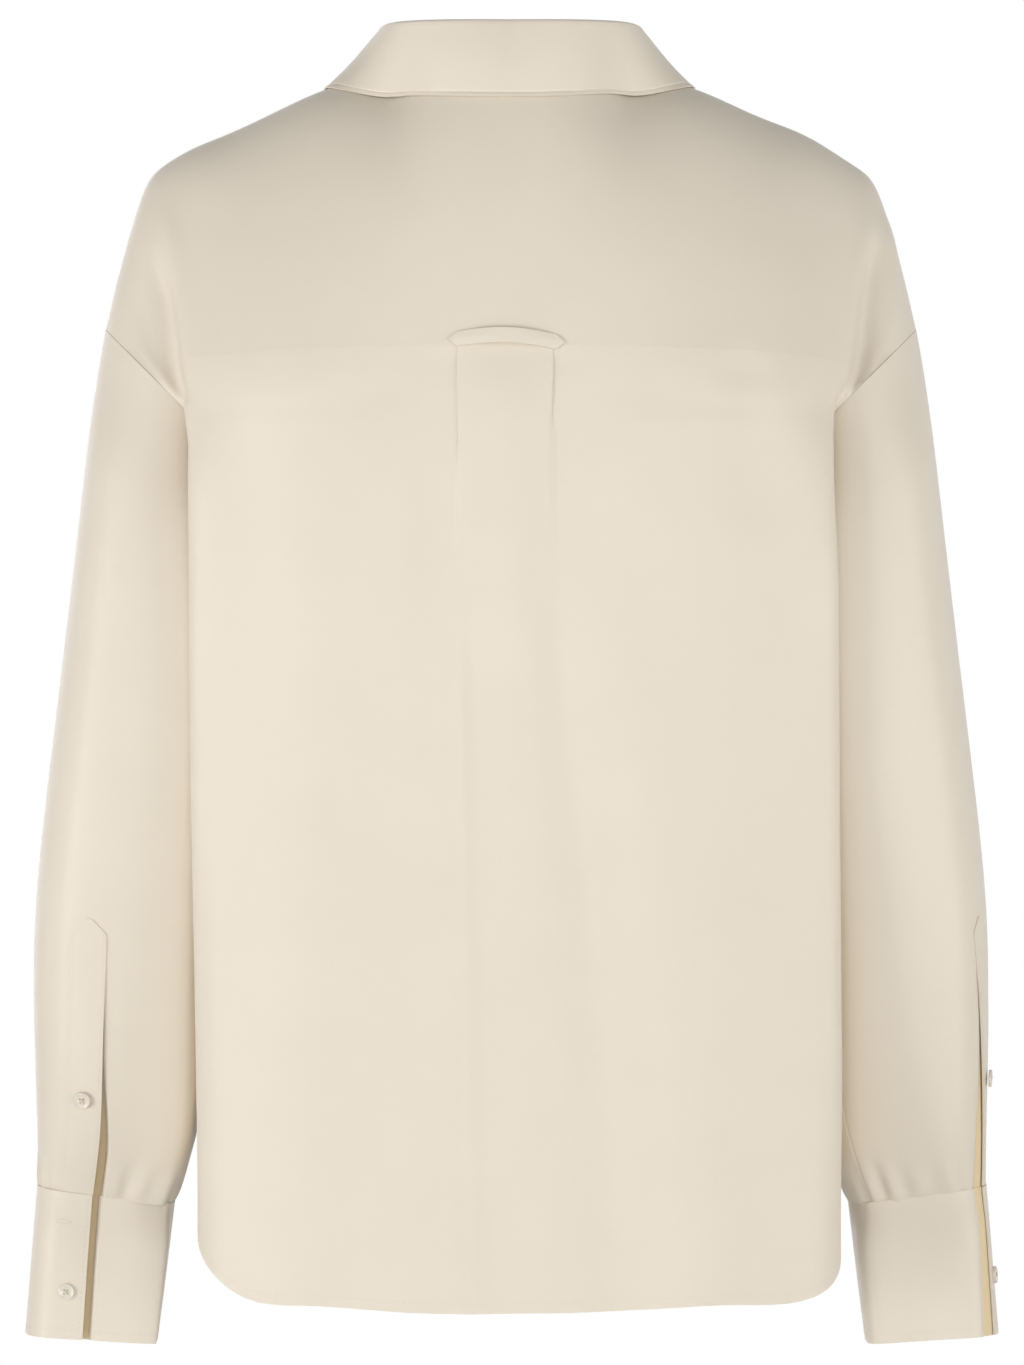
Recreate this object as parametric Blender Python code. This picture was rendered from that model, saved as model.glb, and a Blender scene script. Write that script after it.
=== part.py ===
"""Silk blouse, filled out as if worn: the cut pieces as thin cloth walls, with their real openings.

Metres, +Z up. The blouse faces -Y, so its back is towards +Y and the wearer's left is towards +X.
The origin is the middle of the neck, level with the points where the collar meets the shoulders.
"""

import math

import bmesh
import bpy
import numpy as np

# ---------------------------------------------------------------- driving sizes

CLOTH = 0.0010            # wall of one layer
STIFFENED = 0.0012        # wall of the collar, bands and cuffs, which are interfaced
GAP = 0.0003              # between two pieces that are sewn or laid together
ARM_Y = -0.009            # the arms and the shoulder ridge lie this far in front of the middle
UNDERARM_Z = -0.2195
CORNER_DROP = 0.0130       # the cloth's corner under the arm is rounded over this far below it
SIDE_HEM_Z = -0.6150      # the shirt tail rises to here at the side seams
SWAY = (-0.0015, -0.0032)  # the body hangs this far towards the right, at the chest and more at the hem
SHOULDER_CROWN = [(1, 0.186, 0.0026), (-1, 0.168, 0.0030)]   # side, where its end is rounder, by how much
BAND_WIDTH = 0.0310
BUTTON_RADIUS = 0.0049
BUTTON_THICKNESS = 0.0018
TOWER_WIDTH = 0.0200      # the strip that finishes each sleeve's slit
IVORY = (0.82, 0.75, 0.62)
SHELL = (0.86, 0.82, 0.75)


# ---------------------------------------------------------------- splines and walls

def spline_weights(knots, at):
    """Rows of weights that turn values at the knots into a natural cubic spline's values at `at`."""
    knots, at = np.asarray(knots, float), np.atleast_1d(np.asarray(at, float))
    count = len(knots)
    step = np.diff(knots)
    bend, slope = np.zeros((count, count)), np.zeros((count, count))
    bend[0, 0] = bend[-1, -1] = 1.0
    for i in range(1, count - 1):
        bend[i, i - 1:i + 2] = step[i - 1], 2 * (step[i - 1] + step[i]), step[i]
        slope[i, i - 1:i + 2] = 6 / step[i - 1], -6 / step[i - 1] - 6 / step[i], 6 / step[i]
    second = np.linalg.solve(bend, slope)
    i = np.clip(np.searchsorted(knots, at, side="right") - 1, 0, count - 2)
    h = step[i][:, None]
    b = ((at - knots[i]) / step[i])[:, None]
    a = 1 - b
    basis = np.eye(count)
    return (a * basis[i] + b * basis[i + 1]
            + ((a ** 3 - a) * second[i] + (b ** 3 - b) * second[i + 1]) * h ** 2 / 6)


def along(knots, values, at):
    values = np.asarray(values, float)
    return (spline_weights(knots, np.ravel(at)) @ values).reshape(np.shape(at) + values.shape[1:])


def unit(vectors):
    return vectors / np.maximum(np.linalg.norm(vectors, axis=-1, keepdims=True), 1e-12)


def smooth(x, low=0.0, high=1.0):
    """0 below low, 1 above high, and an even S between."""
    t = np.clip((np.asarray(x, float) - low) / (high - low), 0, 1)
    return t * t * (3 - 2 * t)


def trimmed(points, edges):
    """The grid with half a seam's gap taken off at the named edges, square to each edge."""
    points = points.copy()
    pairs = {"left": ((slice(None), 0), (slice(None), 1)),
             "right": ((slice(None), -1), (slice(None), -2)),
             "bottom": ((0,), (1,)), "top": ((-1,), (-2,))}
    for edge in edges:
        here, beside = pairs[edge]
        run = unit(np.gradient(points[here], axis=0))
        into = points[beside] - points[here]
        points[here] += unit(into - run * np.sum(run * into, axis=-1, keepdims=True)) * GAP / 2
    return points


def outward(middle, side, ring=False):
    """Mitred offset vectors of a grid of points, so that its wall keeps one thickness round its folds.

    `side` is 1 where a step along a row, crossed with a step up, points out of the garment.
    """
    rise = unit(np.diff(middle, axis=0))
    up = unit(np.concatenate([rise[:1], rise]) + np.concatenate([rise, rise[-1:]]))
    step = np.diff(middle, axis=1)
    between = (up[:, 1:] + up[:, :-1]) / 2
    flat = unit(np.cross(step, between)) * side
    first, last = (flat[:, -1:], flat[:, :1]) if ring else (flat[:, :1], flat[:, -1:])
    before, after = np.concatenate([first, flat], axis=1), np.concatenate([flat, last], axis=1)
    dot = np.sum(before * after, axis=-1, keepdims=True)
    return (before + after) / np.maximum(1 + dot, 0.35)


def silk(name, colour, roughness=0.42):
    material = bpy.data.materials.new(name)
    material.use_nodes = True
    shader = material.node_tree.nodes["Principled BSDF"]
    shader.inputs["Base Color"].default_value = (*colour, 1)
    shader.inputs["Roughness"].default_value = roughness
    shader.inputs["Metallic"].default_value = 0.0
    return material


def place(name, mesh, material):
    mesh.materials.append(material)
    mesh.shade_smooth()
    mesh.set_sharp_from_angle(angle=math.radians(50))
    piece = bpy.data.objects.new(name, mesh)
    bpy.context.scene.collection.objects.link(piece)
    return piece


def cloth_wall(name, middle, offset, thickness, closed_rows=0):
    """One closed wall of cloth around a grid of points on its middle surface.

    In the first `closed_rows` rows the last column is the first again, so the cloth is a tube there.
    """
    rows, columns = middle.shape[:2]
    outer = middle + offset * thickness / 2
    inner = middle - offset * thickness / 2
    layer = rows * columns

    def number(row, column, side):
        if column == columns - 1 and row < closed_rows:
            column = 0
        return side * layer + row * columns + column

    faces = []
    for row in range(rows - 1):
        for column in range(columns - 1):
            corners = ((row, column), (row, column + 1), (row + 1, column + 1), (row + 1, column))
            faces.append([number(*corner, 0) for corner in corners])
            faces.append([number(*corner, 1) for corner in reversed(corners)])
    rim = [((0, c), (0, c + 1)) for c in range(columns - 1)]
    rim += [((rows - 1, c + 1), (rows - 1, c)) for c in range(columns - 1)]
    for row in range(max(closed_rows - 1, 0), rows - 1):
        rim.append(((row, columns - 1), (row + 1, columns - 1)))
        rim.append(((row + 1, 0), (row, 0)))
    for one, other in rim:
        faces.append([number(*other, 0), number(*one, 0), number(*one, 1), number(*other, 1)])

    mesh = bpy.data.meshes.new(name)
    shell = bmesh.new()
    points = np.concatenate([outer.reshape(-1, 3), inner.reshape(-1, 3)])
    vertices = [shell.verts.new(point) for point in points]
    for face in faces:
        corners = list(dict.fromkeys(face))
        if len(corners) > 2:
            shell.faces.new([vertices[i] for i in corners])
    bmesh.ops.delete(shell, geom=[v for v in shell.verts if not v.link_faces], context="VERTS")
    bmesh.ops.triangulate(shell, faces=shell.faces[:])
    bmesh.ops.recalc_face_normals(shell, faces=shell.faces[:])
    shell.to_mesh(mesh)
    shell.free()
    return place(name, mesh, silk(name + "_silk", IVORY))


# ---------------------------------------------------------------- the form of the body

# Rings of the body below the arms. Its sides are hollow where the sleeves lie against them.
TORSO = [  # name, z, depth of back, half width of back, side, depth of front, half width of front
    ("hem",      None,       0.1080, 0.1800, 0.1765, 0.1120, 0.1680),
    ("hip",      -0.6000,    0.1090, 0.1800, 0.1745, 0.1130, 0.1680),
    ("waist",    -0.4500,    0.1080, 0.1800, 0.1650, 0.1120, 0.1630),
    ("chest",    -0.3300,    0.1100, 0.1795, 0.1510, 0.1140, 0.1590),
    ("underarm", UNDERARM_Z, 0.1120, 0.1780, 0.1460, 0.1140, 0.1580),
]
# Lines that run up the back, and where each ends on the neckline or on the shoulder seam.
BACK = [  # name, share of width, share of depth, hem z left, right, yoke seam z, top x, y, z, sweep
    ("centre", 0.000, 1.000, -0.6863, -0.6863, -0.1490, 0.0000, 0.0600, 0.0080, 50),
    ("inner",  0.335, 0.990, -0.6860, -0.6850, -0.1492, 0.0440, 0.0460, 0.0090, 56),
    ("neck",   0.640, 0.945, -0.6826, -0.6820, -0.1505, 0.0745, -0.0330, 0.0060, 100),
    ("corner", 0.870, 0.820, -0.6775, -0.6812, -0.1530, 0.1380, -0.0370, -0.0190, 103),
    ("crest",  1.000, 0.610, -0.6485, -0.6610, -0.1560, 0.1985, -0.0370, -0.0460, 103),
    ("crease", None,  0.320, -0.6285, -0.6350, None,    0.2130, -0.0370, -0.0700, 103),
]
FRONT = [  # the same for the front
    ("centre", 0.000, 1.000, -0.6600, -0.6600, -0.1500, 0.0000, -0.0930, -0.0860, 50),
    ("inner",  0.340, 0.988, -0.6600, -0.6600, -0.1500, 0.0400, -0.0850, -0.0690, 50),
    ("neck",   0.640, 0.935, -0.6570, -0.6570, -0.1500, 0.0745, -0.0330, 0.0060, 74),
    ("corner", 0.880, 0.830, -0.6480, -0.6480, -0.1500, 0.1380, -0.0370, -0.0190, 77),
    ("crest",  1.000, 0.670, -0.6330, -0.6330, -0.1520, 0.1985, -0.0370, -0.0460, 77),
    ("crease", None,  0.380, -0.6220, -0.6220, None,    0.2130, -0.0370, -0.0700, 77),
]
# Rows over the shoulder: share of the sweep past the yoke seam, turn round the armhole from the
# underarm, x of the crest, and the bottom of the crease that the dropped shoulder hangs into.
BACK_ROWS = [
    ("low",   None, 66,  0.1792, 0.1720, 0.0590, -0.1900),
    ("yoke",  0.00, 112, 0.1812, 0.1905, 0.0520, -0.1590),
    ("blade", 0.40, 148, 0.1905, 0.2080, 0.0270, -0.0960),
    ("ridge", 0.74, 178, 0.1965, 0.2120, -0.0070, -0.0640),
    ("seam",  1.00, 205, 0.1985, 0.2130, -0.0370, -0.0700),
]
FRONT_ROWS = [
    ("low",    None, 300, 0.1650, 0.1668, -0.0715, -0.1925),
    ("breast", 0.00, 250, 0.1700, 0.1850, -0.0700, -0.1560),
    ("upper",  0.55, 226, 0.1880, 0.2060, -0.0560, -0.1000),
    ("seam",   1.00, 205, 0.1985, 0.2130, -0.0370, -0.0700),
]
ACROSS = [0.0, 0.21, 0.42, 0.62, 0.79, 0.89, 1.0]     # the lines' places across a panel
NECK_U = 0.42
# Columns along the shoulder seam.
SHOULDER_U = [NECK_U, 0.50, 0.58, 0.66, 0.73, 0.79, 0.84, 0.89, 0.945, 1.0]
SIDE_V = [0.0, 0.10, 0.30, 0.46, 0.60]
UP_BACK = SIDE_V + [0.67, 0.76, 0.85, 0.93, 1.0]
UP_FRONT = SIDE_V + [0.68, 0.78, 0.90, 1.0]
YOKE_V = 0.76

# The armhole is a tilted ellipse from the underarm up to the top of the arm.
ARMHOLE_LOW = np.array([0.1460, ARM_Y, UNDERARM_Z])
ARMHOLE_TOP = np.array([0.2310, ARM_Y, -0.1350])
ARMHOLE_DEPTH = 0.0650


def armhole(turn):
    """Points of the left armhole. Turns run in degrees from the underarm round the back to the front."""
    angle = np.radians(np.asarray(turn, float))[..., None]
    middle = (ARMHOLE_LOW + ARMHOLE_TOP) / 2
    reach = (ARMHOLE_TOP - ARMHOLE_LOW) / 2
    return middle - reach * np.cos(angle) + np.array([0, ARMHOLE_DEPTH, 0]) * np.sin(angle)


def body_net(lines, rows, facing, left):
    """Control points of one quarter of the body, row by row from the hem to the shoulder seam."""
    net = []
    for name, z, back, back_width, side, front, front_width in TORSO:
        depth, width = (back, back_width) if facing > 0 else (front, front_width)
        ring = []
        for line in lines:
            x = side + 0.30 * (width - side) if line[1] is None else line[1] * width
            hem_z = line[3] if left else line[4]
            drop = CORNER_DROP if line[0] == "crease" and name == "underarm" else 0
            ring.append((x, facing * line[2] * depth, (hem_z if z is None else z) - drop))
        ring.append((side, ARM_Y, SIDE_HEM_Z if z is None else z))
        net.append(ring)
    underarm = np.array(net[-1])
    for row, share, turn, crest_x, *crease in rows:
        ring = []
        for start, (line, _, _, _, _, seam_z, top_x, top_y, top_z, sweep) in zip(underarm, lines):
            if line == "crease":
                ring.append(crease)
                continue
            top, last = np.array([top_x, top_y, top_z]), math.radians(sweep)
            seam_angle = math.asin((seam_z - start[2]) / (top_z - start[2]) * math.sin(last))
            angle = seam_angle / 2 if share is None else seam_angle + (last - seam_angle) * share
            point = start + (top - start) * (1 - math.cos(angle)) / (1 - math.cos(last))
            point[2] = start[2] + (top_z - start[2]) * math.sin(angle) / math.sin(last)
            if line == "crest":
                point[0] = crest_x
            ring.append(point)
        ring.append(armhole(turn))
        net.append(ring)
    return np.array(net, float)


BACK_NETS = {side: body_net(BACK, BACK_ROWS, 1, side > 0) for side in (1, -1)}
FRONT_NETS = {side: body_net(FRONT, FRONT_ROWS, -1, side > 0) for side in (1, -1)}


def quarter(net, up, turns, u, v):
    """The body's surface on the left, for grids of u (middle to side) and v (hem to shoulder seam)."""
    shape, u, v = np.shape(u), np.ravel(u), np.ravel(v)
    across = spline_weights(ACROSS, u)
    neck = ACROSS.index(NECK_U)
    cornered = np.zeros_like(across)                   # the same, with a corner at the neck
    cornered[:, :neck + 1] = spline_weights(ACROSS[:neck + 1], u)
    outer = u > NECK_U
    cornered[outer] = 0
    cornered[outer, neck:] = spline_weights(ACROSS[neck:], u[outer])
    near_top = smooth(v, 0.88, 1.0)[:, None]
    across = across * (1 - near_top) + cornered * near_top
    points = np.einsum("pi,pj,ijk->pk", spline_weights(up, v), across, net)
    # the side seam and the armhole are the same curves for the front, the back and the sleeve
    rise = spline_weights(up, v)
    drawn = rise @ net[:, -1]
    seam = spline_weights(SIDE_V, np.minimum(v, SIDE_V[-1])) @ net[:len(SIDE_V), -1]
    turn = along(up[len(SIDE_V) - 1:], turns, np.maximum(v, SIDE_V[-1]))
    exact = np.where((v > SIDE_V[-1])[:, None], armhole(turn), seam)
    near_side = np.clip((u - 0.84) / 0.16, 0, 1)[:, None] ** 2
    return (points + (exact - drawn) * near_side).reshape(*shape, 3)


def settled(points):
    """The body hangs a little to one side below the arms, but not where the sleeves lie against it."""
    points = points.copy()
    sway = (SWAY[0] + SWAY[1] * smooth(-points[..., 2], 0.25, 0.60)) * smooth(-points[..., 2], 0.22, 0.29)
    points[..., 0] += sway * smooth(np.abs(points[..., 1] - ARM_Y), 0.010, 0.055)
    for side, crown_x, crown in SHOULDER_CROWN:
        near = np.exp(-((points[..., 0] * side - crown_x) / 0.022) ** 2)
        points[..., 2] += crown * near * smooth(points[..., 2], -0.085, -0.045)
    return points


def back_surface(u, v):
    """The whole back: u runs from the right side (-1) past the middle (0) to the left side (1)."""
    turns = [0] + [row[2] for row in BACK_ROWS]
    left = quarter(BACK_NETS[1], UP_BACK, turns, np.abs(u), v)
    right = quarter(BACK_NETS[-1], UP_BACK, turns, np.abs(u), v)
    points = np.where((u < 0)[..., None], right, left)
    points[..., 0] *= np.where(u < 0, -1, 1)
    return settled(points)


def front_surface(u, v, side):
    """One front: u runs from the middle (0) to its side (1)."""
    turns = [360] + [row[2] for row in FRONT_ROWS]
    points = quarter(FRONT_NETS[side], UP_FRONT, turns, np.abs(u), v)
    points[..., 0] *= np.where(u < 0, -side, side)
    return settled(points)


def surface_normal(surface, u, v, side):
    step = 1e-3
    low_v, high_v = np.clip(v - step, 0, 1), np.clip(v + step, 0, 1)
    across, up = surface(u + step, v) - surface(u - step, v), surface(u, high_v) - surface(u, low_v)
    return side * unit(np.cross(across, up))


def shared(offset, normal):
    """An edge's offset vectors, turned to the mitre with the piece that has the other normal there."""
    own = unit(offset)
    blend = unit(own + normal)
    return blend / np.maximum(np.sum(blend * own, axis=-1, keepdims=True), 0.5)


def side_normal(v, side):
    """Outward normals along a side seam: of the back and of the front."""
    one = np.full(len(v), 0.985)
    back = surface_normal(back_surface, side * one, v, -1)
    front = surface_normal(lambda a, b: front_surface(a, b, side), one, v, side)
    return back, front


def shoulder_normal(u, side):
    """Outward normals along a shoulder seam: of the yoke and of the front."""
    top, u = np.ones(len(u)), np.maximum(u, NECK_U + 0.015)
    return (surface_normal(back_surface, side * u, top, -1),
            surface_normal(lambda a, b: front_surface(a, b, side), u, top, side))


# ---------------------------------------------------------------- back, with its box pleat

PLEAT_PER_METRE = 0.21 / 0.0603        # u for a metre across, near the middle of the back
PLEAT_LAYER = CLOTH + GAP
PLEATS = [  # side, edge's x below the yoke seam, depth below the seam where the fold has opened
    (1, 0.0300, 0.095),
    (-1, -0.0233, 0.065),
]
FOLD = [  # name, out from the edge folded, opened, layers down folded, opened
    ("beside",  0.0170, 0.0170, 0.0, 0.0),
    ("foot",    0.0060, 0.0080, 2.0, 2.0),
    ("deep",   -0.0100, 0.0026, 2.0, 2.0),
    ("return", -0.0100, 0.0008, 1.0, 1.4),
    ("under",   0.0000, -0.0008, 1.0, 0.6),
    ("edge",    0.0000, -0.0026, 0.0, 0.0),
    ("panel",  -0.0060, -0.0080, 0.0, 0.0),
]


def back_grid(fold_rows, lower_rows):
    v = np.concatenate([np.linspace(0, 0.6, lower_rows), np.linspace(0.6, YOKE_V, fold_rows)[1:]])
    columns = []                                        # each is u and the depth under the surface
    for side, edge_x, opened in PLEATS:
        below = np.abs(along(UP_BACK, BACK_NETS[1][:, 0, 2], v) + 0.149)
        folded = 1 - smooth(below, 0.012, opened)
        raised = 1 - smooth(below, opened, opened + 0.10)
        part = []
        edge_u = abs(edge_x) * PLEAT_PER_METRE
        for u in SHOULDER_U[::-1] + [0.34, 0.26]:
            part.append((side * u + 0 * v, 0 * v))
        for name, out, out_open, down, down_open in FOLD:
            lateral = out * folded + out_open * (1 - folded)
            layers = (down * folded + down_open * (1 - folded)) * raised
            part.append((side * (edge_u + lateral * PLEAT_PER_METRE), layers * PLEAT_LAYER))
        columns.append(part)
    left, right = columns
    whole = right + left[::-1]
    u = np.array([c[0] for c in whole]).T
    down = np.array([c[1] for c in whole]).T
    rows = v
    v = np.repeat(v[:, None], u.shape[1], axis=1)
    return back_surface(u, v) - down[..., None] * surface_normal(back_surface, u, v, -1), rows


def make_back_and_yoke():
    surface, v = back_grid(9, 11)
    grid = trimmed(surface, ["left", "right", "top"])
    offset = outward(grid, -1)
    below_arm = v <= SIDE_V[-1]
    for side, column in ((-1, 0), (1, -1)):
        back, front = side_normal(v[below_arm], side)
        offset[below_arm, column] = shared(back, front)
    cloth_wall("back", grid, offset, CLOTH)

    half = [0.0, 0.07, 0.14, 0.21, 0.28, 0.35] + SHOULDER_U
    u, v = np.meshgrid([-u for u in half[:0:-1]] + half, np.linspace(YOKE_V, 1, 8))
    grid = trimmed(back_surface(u, v), ["left", "right", "top", "bottom"])
    offset = outward(grid, -1)
    for side in (-1, 1):
        sewn = np.where(u[-1] * side > NECK_U - 0.01)[0]
        yoke, front = shoulder_normal(np.abs(u[-1, sewn]), side)
        offset[-1, sewn] = shared(yoke, front)
    cloth_wall("yoke", grid, offset, CLOTH)


# ---------------------------------------------------------------- fronts and their bands

# Rows of the fronts, close together beside the underarm.
FRONT_V = [0, 0.06, 0.13, 0.20, 0.28, 0.36, 0.44, 0.50, 0.55, 0.60, 0.613, 0.627, 0.643, 0.66, 0.68,
           0.71, 0.75, 0.79, 0.83, 0.87, 0.91, 0.955, 1.0]
OPEN_FROM = -0.135         # above this height the fronts part into the open neck


def front_seam_u(v, side):
    """Where the band is sewn on: parallel to the middle, and drawn aside at the open neck."""
    height = along(UP_FRONT, FRONT_NETS[side][:, 0, 2], v)
    return 0.0158 / 0.168 * 0.21 / 0.34 + 0.225 * smooth(height, OPEN_FROM, -0.080)


def front_grid(side, u, v):
    seam = front_seam_u(v, side)
    u = seam + (1 - seam) * u
    return front_surface(u, v, side), u


def lift_right(points, normals, u, side):
    """The right front laps over the left, so it lies two layers further out along its edge."""
    if side > 0:
        return points
    return points + normals * ((STIFFENED + GAP) * (1 - smooth(u, 0.10, 0.34)))[..., None]


def band_grid(side, w, v):
    """w runs from the band's free edge (0) to its seam with the front (1)."""
    seam = front_seam_u(v, side)
    per_metre = 0.21 / 0.34 / 0.168
    u = seam - (1 - w) * BAND_WIDTH * per_metre
    surface = lambda a, b: front_surface(a, b, side)
    points = surface(u, v)
    normal = surface_normal(surface, u, v, side)
    return points + (normal * (STIFFENED + GAP) if side < 0 else 0)


def make_fronts():
    for side, name in ((1, "left"), (-1, "right")):
        surface = lambda a, b: front_surface(a, b, side)
        seam = front_seam_u(np.ones(1), side)[0]
        beside = [seam, (seam * 2 + NECK_U) / 3, (seam + NECK_U * 2) / 3]
        columns = (np.array(beside + SHOULDER_U) - seam) / (1 - seam)
        u, v = np.meshgrid(columns, FRONT_V)
        points, true_u = front_grid(side, u, v)
        points = lift_right(points, surface_normal(surface, true_u, v, side), true_u, side)
        grid = trimmed(points, ["left", "right", "top"])
        offset = outward(grid, side)
        below_arm = v[:, 0] <= SIDE_V[-1] + 1e-9
        back, front = side_normal(v[below_arm, 0], side)
        offset[below_arm, -1] = shared(front, back)
        sewn = true_u[-1] > NECK_U - 0.01
        yoke, front = shoulder_normal(true_u[-1, sewn], side)
        offset[-1, sewn] = shared(front, yoke)
        cloth_wall("front_" + name, grid, offset, CLOTH)
        w, v = np.meshgrid(np.linspace(0, 1, 4), FRONT_V)
        grid = trimmed(band_grid(side, w, v), ["right", "top"])
        cloth_wall("band_" + name, grid, outward(grid, side), STIFFENED)


# ---------------------------------------------------------------- sleeves and cuffs

# Rings down the arm. Turns run as on the armhole, and `lean` is how far the ring's outer side is raised.
SLEEVE = [  # name, centre x, y, z, half width, half depth, lean, turn of the seam on the left, on the right
    ("armhole", 0.1885, -0.0090, -0.17725, 0.0599, 0.0650, 44.8, 0, 0),
    ("arm",     0.2000, -0.0075, -0.2380, 0.0480, 0.0690, 27.0, 0, 0),
    ("biceps",  0.2075, -0.0068, -0.3180, 0.0470, 0.0680, 12.0, -4, 8),
    ("elbow",   0.2156, -0.0088, -0.4040, 0.0492, 0.0640, 5.0, -10, 18),
    ("forearm", 0.2215, -0.0130, -0.4720, 0.0500, 0.0600, 1.0, -16, 25),
    ("lower",   0.2237, -0.0175, -0.5400, 0.0485, 0.0550, 0.0, -15, 34),
    ("gathers", 0.2257, -0.0235, -0.5920, 0.0455, 0.0470, 2.0, -13, 42),
    ("cuff",    0.2322, -0.0280, -0.6285, 0.0390, 0.0330, 7.0, -11, 46),
]
CUFF = [  # the same for the cuff
    ("seam",    0.2326, -0.0281, -0.6289, 0.0391, 0.0322, 7.0, -11, 46),
    ("buttons", 0.2367, -0.0291, -0.6700, 0.0383, 0.0320, 5.2, -12, 43),
    ("end",     0.2410, -0.0301, -0.7110, 0.0374, 0.0318, 3.4, -14, 40),
]
RINGS_UP = [0.0, 0.16, 0.34, 0.52, 0.66, 0.80, 0.91, 1.0]
SLIT_FROM_SEAM = 125       # degrees from the underarm seam to the slit
FLATTER = 0.45             # the rings are this much flatter at front and back than an ellipse
SLIT_TOP = 0.745           # how far down the sleeve the slit begins
SLIT_WIDTH = 0.0030
BESIDE = CLOTH + 3 * GAP   # the sleeve starts this far inside the body's wall under the arm
SLEEVE_ROWS = [0, 0.07, 0.16, 0.26, 0.37, 0.48, 0.58, 0.655, 0.70, SLIT_TOP,
               0.785, 0.825, 0.865, 0.900, 0.935, 0.970, 1.0]


def ring_points(table, places, turn_column, turn, s, outwards=0.0):
    """Points at `turn` degrees from the underarm seam and `s` down a sleeve or a cuff."""
    flat = FLATTER * (smooth(s, 0.02, 0.16) if len(table) > 3 else 1.0)
    columns = np.array([row[1:] for row in table], float)
    x, y, z, width, depth, lean, _, _ = np.moveaxis(along(places, columns, s), -1, 0)
    seam = along(places, columns[:, turn_column], s)
    angle, lean = np.radians(turn + seam), np.radians(lean)
    c, n = np.cos(angle), np.sin(angle)
    n = n * (1 + flat * (1 - n * n))
    width, depth = width + outwards, depth + outwards
    return np.stack([x - width * c * np.cos(lean), y + depth * n, z - width * c * np.sin(lean)], axis=-1)


def metres_to_turn(table, places, turn_column, turn, s):
    """Degrees for each metre round a ring, at a turn."""
    one = ring_points(table, places, turn_column, turn + 1.0, s)
    other = ring_points(table, places, turn_column, turn - 1.0, s)
    return 2.0 / np.linalg.norm(one - other, axis=-1)


def sleeve_points(side, w, s, outwards=0.0):
    """Points on a sleeve: `w` in metres round from the slit, or in turns where it is a whole grid."""
    column = 6 if side > 0 else 7
    turn = SLIT_FROM_SEAM + w
    # below the arm the sleeve turns back beside the body's wall, so it starts inside that
    beside = smooth(np.cos(np.radians(turn)), -0.35, 0.45) * (1 - smooth(s, 0.06, 0.20))
    points = ring_points(SLEEVE, RINGS_UP, column, turn, s, outwards - BESIDE * beside)
    # at the armhole the sleeve starts a seam's gap from the body
    start = GAP * (1 - smooth(s, 0.0, 0.10))
    points[..., 0] += start * 0.705
    points[..., 2] -= start * 0.709
    points[..., 0] *= side
    return points


def sleeve_step(side, s):
    return metres_to_turn(SLEEVE, RINGS_UP, 6 if side > 0 else 7, SLIT_FROM_SEAM, s)


def gather(turn, s):
    """The sleeve's fullness, drawn up into small uneven folds above the cuff, but not beside the slit."""
    wave = np.sin(np.radians(turn * 9.0 + 40 * np.sin(np.radians(turn * 2))))
    clear = smooth(np.abs((turn + 180) % 360 - 180 - SLIT_FROM_SEAM), 34, 56)
    return 0.0011 * wave * clear * smooth(s, 0.90, 0.985) * (1 - 0.55 * smooth(s, 0.985, 1.0))


SLIT_DIP = 0.0042          # the edge under the strip is turned in this far


def slit_dip(w, s):
    """How far the sleeve is turned in along the slit's inner edge, for w in metres from the slit."""
    return SLIT_DIP * smooth(w, -0.0170, -0.0085) * smooth(s, SLIT_TOP, SLIT_TOP + 0.10)


def make_sleeve(side, name):
    rows = np.array(SLEEVE_ROWS)
    edges = [0.0025, 0.0080, 0.0150]
    inner_edges = [0.0200, 0.0150, 0.0105, 0.0070, 0.0025]
    turns, dips = [], []
    for s in rows:
        step = sleeve_step(side, s)
        start = [w * step for w in edges]
        end = [360 - w * step for w in inner_edges]
        middle = np.linspace(start[-1], end[0], 26)[1:-1]
        row = np.array(start + list(middle) + end)
        width = SLIT_WIDTH / 2 * step * smooth(s, SLIT_TOP - 0.02, SLIT_TOP + 0.10)
        if s <= SLIT_TOP + 1e-9:
            row[0], row[-1] = 0.0, 360.0
        else:
            row[0], row[-1] = max(width, 0.0008 * step), 360 - max(width, 0.0008 * step)
        turns.append(row)
        away = np.minimum(row, 0) + (row - 360) * (row > 180) - 999 * (row <= 180)
        dips.append(slit_dip(np.clip(away / step, -1, 0), s))
    turns, dips = np.array(turns), np.array(dips)
    s = np.repeat(rows[:, None], turns.shape[1], axis=1)
    seam = along(RINGS_UP, [row[7 if side > 0 else 8] for row in SLEEVE], s)
    points = sleeve_points(side, turns, s, gather(turns + SLIT_FROM_SEAM, s) - dips)
    closed = int(np.sum(rows <= SLIT_TOP + 1e-9))
    points[:closed, -1] = points[:closed, 0]
    offset = outward(points, side, ring=True)
    offset[closed:, 0] = offset[closed:, 1]
    offset[closed:, -1] = offset[closed:, -2]
    cloth_wall("sleeve_" + name, points, offset, CLOTH, closed_rows=closed)


TOWER = [  # name, place down the sleeve, share of the strip's width, lift of its free edge
    ("tip",      0.655, 0.16, 0.0),
    ("shoulder", 0.673, 1.00, 0.0),
    ("stitched", 0.700, 1.00, 0.0),
    ("free",     SLIT_TOP, 1.00, 0.1),
    ("upper",    0.785, 1.00, 0.7),
    ("middle",   0.865, 1.00, 1.0),
    ("gathers",  0.935, 1.00, 0.8),
    ("cuff",     1.000, 1.00, 0.5),
]
TOWER_ROWS = [0.655, 0.673] + SLEEVE_ROWS[8:]
TOWER_LIFT = 0.0011        # how far the strip's free edge stands off the sleeve
ON_SLEEVE = CLOTH / 2 + GAP + STIFFENED / 2 + 0.0002


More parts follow.
